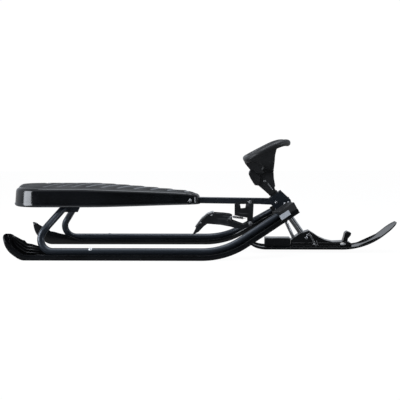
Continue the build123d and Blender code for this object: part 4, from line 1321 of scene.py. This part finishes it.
def wound(bm, radius, steps, turns, rise):
    """A wire round the Z axis that climbs this much at each step."""
    before = set(bm.verts)
    wire = bmesh.ops.create_circle(bm, segments=WIRE_SIDES, radius=WIRE_R, cap_ends=True)["verts"]
    stand = Matrix.Translation((radius, 0, 0)) @ Matrix.Rotation(math.pi / 2, 4, "X")
    bmesh.ops.transform(bm, matrix=stand, verts=wire)
    edges = list({e for v in wire for e in v.link_edges})
    faces = list({f for v in wire for f in v.link_faces})
    bmesh.ops.spin(bm, geom=wire + edges + faces, cent=(0, 0, 0), axis=UP, dvec=(0, 0, rise),
                   steps=steps, angle=math.tau * turns)
    return [v for v in bm.verts if v not in before]


def brake_spring():
    bm = bmesh.new()
    run = SPRING_TO - SPRING_FROM
    steps = COILS * COIL_STEPS
    coil = wound(bm, SPRING_R, steps, COILS, run.length / steps)
    bmesh.ops.transform(bm, matrix=turned_to(run, SPRING_FROM), verts=coil)
    for end, away in ((SPRING_FROM, -run.normalized()), (SPRING_TO, run.normalized())):
        hook = wound(bm, HOOK_R, HOOK_STEPS, HOOK_TURN, 0.0)
        stand = turned_to(run, end + away * SPRING_R) @ Matrix.Rotation(math.pi / 2, 4, "X")
        bmesh.ops.transform(bm, matrix=stand, verts=hook)
    bmesh.ops.recalc_face_normals(bm, faces=bm.faces)
    return mesh_object("brake_spring", bm, [plated])


spring = brake_spring()
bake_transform(spring)
print("spring faces:", len(spring.data.polygons))

pin = bmesh.new()
spun(pin, [(0, 0), (SPRING_PIN_R, 0), (SPRING_PIN_R, 2 * plate_y), (0, 2 * plate_y)],
     (CLAW_BOLT[0], -plate_y, CLAW_BOLT[1]), ACROSS)
extra("spring_pin", pin, "brake")

# %% [markdown]
# ## Small steel parts
# A thin bright rod runs down each side of the column, and two flat straps on each side hold the
# ski's holder together. A strap is a cube that is stretched and laid between two points, and a rod
# is spun. A light grey plate, which is also a cube, lies on each front cap's outer side: a painted
# reflection.

# %% Straps and rods, with places as x and z
STRAPS = (((372, 70), (399, 22), 6.0), ((400, 42), (405, 24), 3.0))    # two ends and the width
STRAP_THICK = 1.2
ROD_ENDS = ((223.0, 250.0), (241.0, 226.0))
ROD_R = 2.0


def strap(bm, start, end, width):
    """A flat strip between two points, with its thickness across the sled."""
    made = bmesh.ops.create_cube(bm, size=1.0)["verts"]
    bmesh.ops.scale(bm, vec=(width, STRAP_THICK, (end - start).length), verts=made)
    lean = math.atan2(end.x - start.x, end.z - start.z)
    bmesh.ops.rotate(bm, cent=(0, 0, 0), matrix=Matrix.Rotation(lean, 3, "Y"), verts=made)
    bmesh.ops.translate(bm, vec=(start + end) / 2, verts=made)


small = bmesh.new()
for side in (-1, 1):
    for start, end, width in STRAPS:
        y = side * (holder_y + STRAP_THICK / 2)
        strap(small, Vector((start[0], y, start[1])), Vector((end[0], y, end[1])), width)
    at, to = (Vector((x, side * (cover_y + 1.2), z)) for x, z in ROD_ENDS)
    length = (to - at).length
    rod = [(0, 0), (ROD_R - 0.4, 0), (ROD_R, 0.4), (ROD_R, length - 0.4), (ROD_R - 0.4, length),
           (0, length)]
    spun(small, rod, at, to - at, steps=12)
soften(extra("steering_straps", small, "steering"), 0.3, 1)

# %% Light grey plates on the sides of the front caps, as painted reflections
PLATE_AT = (278.0, 146.5)     # x and z
PLATE_FURTHER = (288.0, 152.56)      # a second place, along the leg
PLATE_L = 40.0
PLATE_H = 18.0
PLATE_THICK = 1.4
PLATE_OUT = 0.3               # from the cap's skin to the plate's middle


def painted_reflection_plate(bm, cap, side):
    """A flat light grey plate on a cap's outer side, along the front leg: a painted reflection."""
    at, facing = on_skin(cap, side, *PLATE_AT)
    further = on_skin(cap, side, *PLATE_FURTHER)[0]
    along = (further - at).normalized()
    across = facing.cross(along).normalized()
    lay = Matrix((along, across, facing)).transposed().to_4x4()
    made = bmesh.ops.create_cube(bm, size=1.0)["verts"]
    bmesh.ops.scale(bm, vec=(PLATE_L, PLATE_H, PLATE_THICK), verts=made)
    bmesh.ops.transform(bm, matrix=Matrix.Translation(at + facing * PLATE_OUT) @ lay, verts=made)


plates = bmesh.new()
for side, cap in ((1, "left_front_cap_finished"), (-1, "right_front_cap_finished")):
    painted_reflection_plate(plates, bpy.data.objects[cap], side)
soften(extra("cap_reflection_plates", plates, "frame", cap_painted_reflection), 0.4, 2)

# %% [markdown]
# ## Weld beads
# The tubes are joined by welding, which leaves a raised bead of small overlapping ripples round
# each joint. A thick ring with a wavy radius gives the ripples; the paint covers it.

# %% Weld beads round the seat legs' upper ends
BEAD_R = 1.9
BEAD_SWELL = 0.22             # share that it swells and shrinks
BEAD_SIDES = 8
RIPPLES = 22
RIPPLE_STEPS = 4
LEG_TOP = (-491.0, 106.0, 179.6)
LEG_LEAN = (56.0, -78.0, 78.0)
LEG_RING_R = 12.6
BEAD_BELOW = 2.0              # the bead lies this far under the leg's top


def weld_ring(bm, at, direction, radius):
    """A torus whose thickness swells and shrinks along its way."""
    rings = []
    for i in range(RIPPLES * RIPPLE_STEPS):
        angle = math.tau * i / (RIPPLES * RIPPLE_STEPS)
        swell = BEAD_R * (1.0 + BEAD_SWELL * math.sin(angle * RIPPLES))
        made = bmesh.ops.create_circle(bm, segments=BEAD_SIDES, radius=swell, cap_ends=False)["verts"]
        lay = Matrix.Rotation(angle, 4, "Z") @ Matrix.Translation((radius, 0, 0))
        lay = turned_to(direction, at) @ lay @ Matrix.Rotation(math.pi / 2, 4, "X")
        bmesh.ops.transform(bm, matrix=lay, verts=made)
        rings.append(made)
    for one, other in zip(rings, rings[1:] + rings[:1]):
        bmesh.ops.bridge_loops(bm, edges=loop_edges(bm, one) + loop_edges(bm, other))


beads = bmesh.new()
for side in (-1, 1):
    x, y, z = LEG_LEAN
    lean = Vector((x, side * y, z)).normalized()
    x, y, z = LEG_TOP
    weld_ring(beads, Vector((x, side * y, z)) - lean * BEAD_BELOW, lean, LEG_RING_R)
extra("weld_beads", beads, "frame", paint, sharp=80.0)
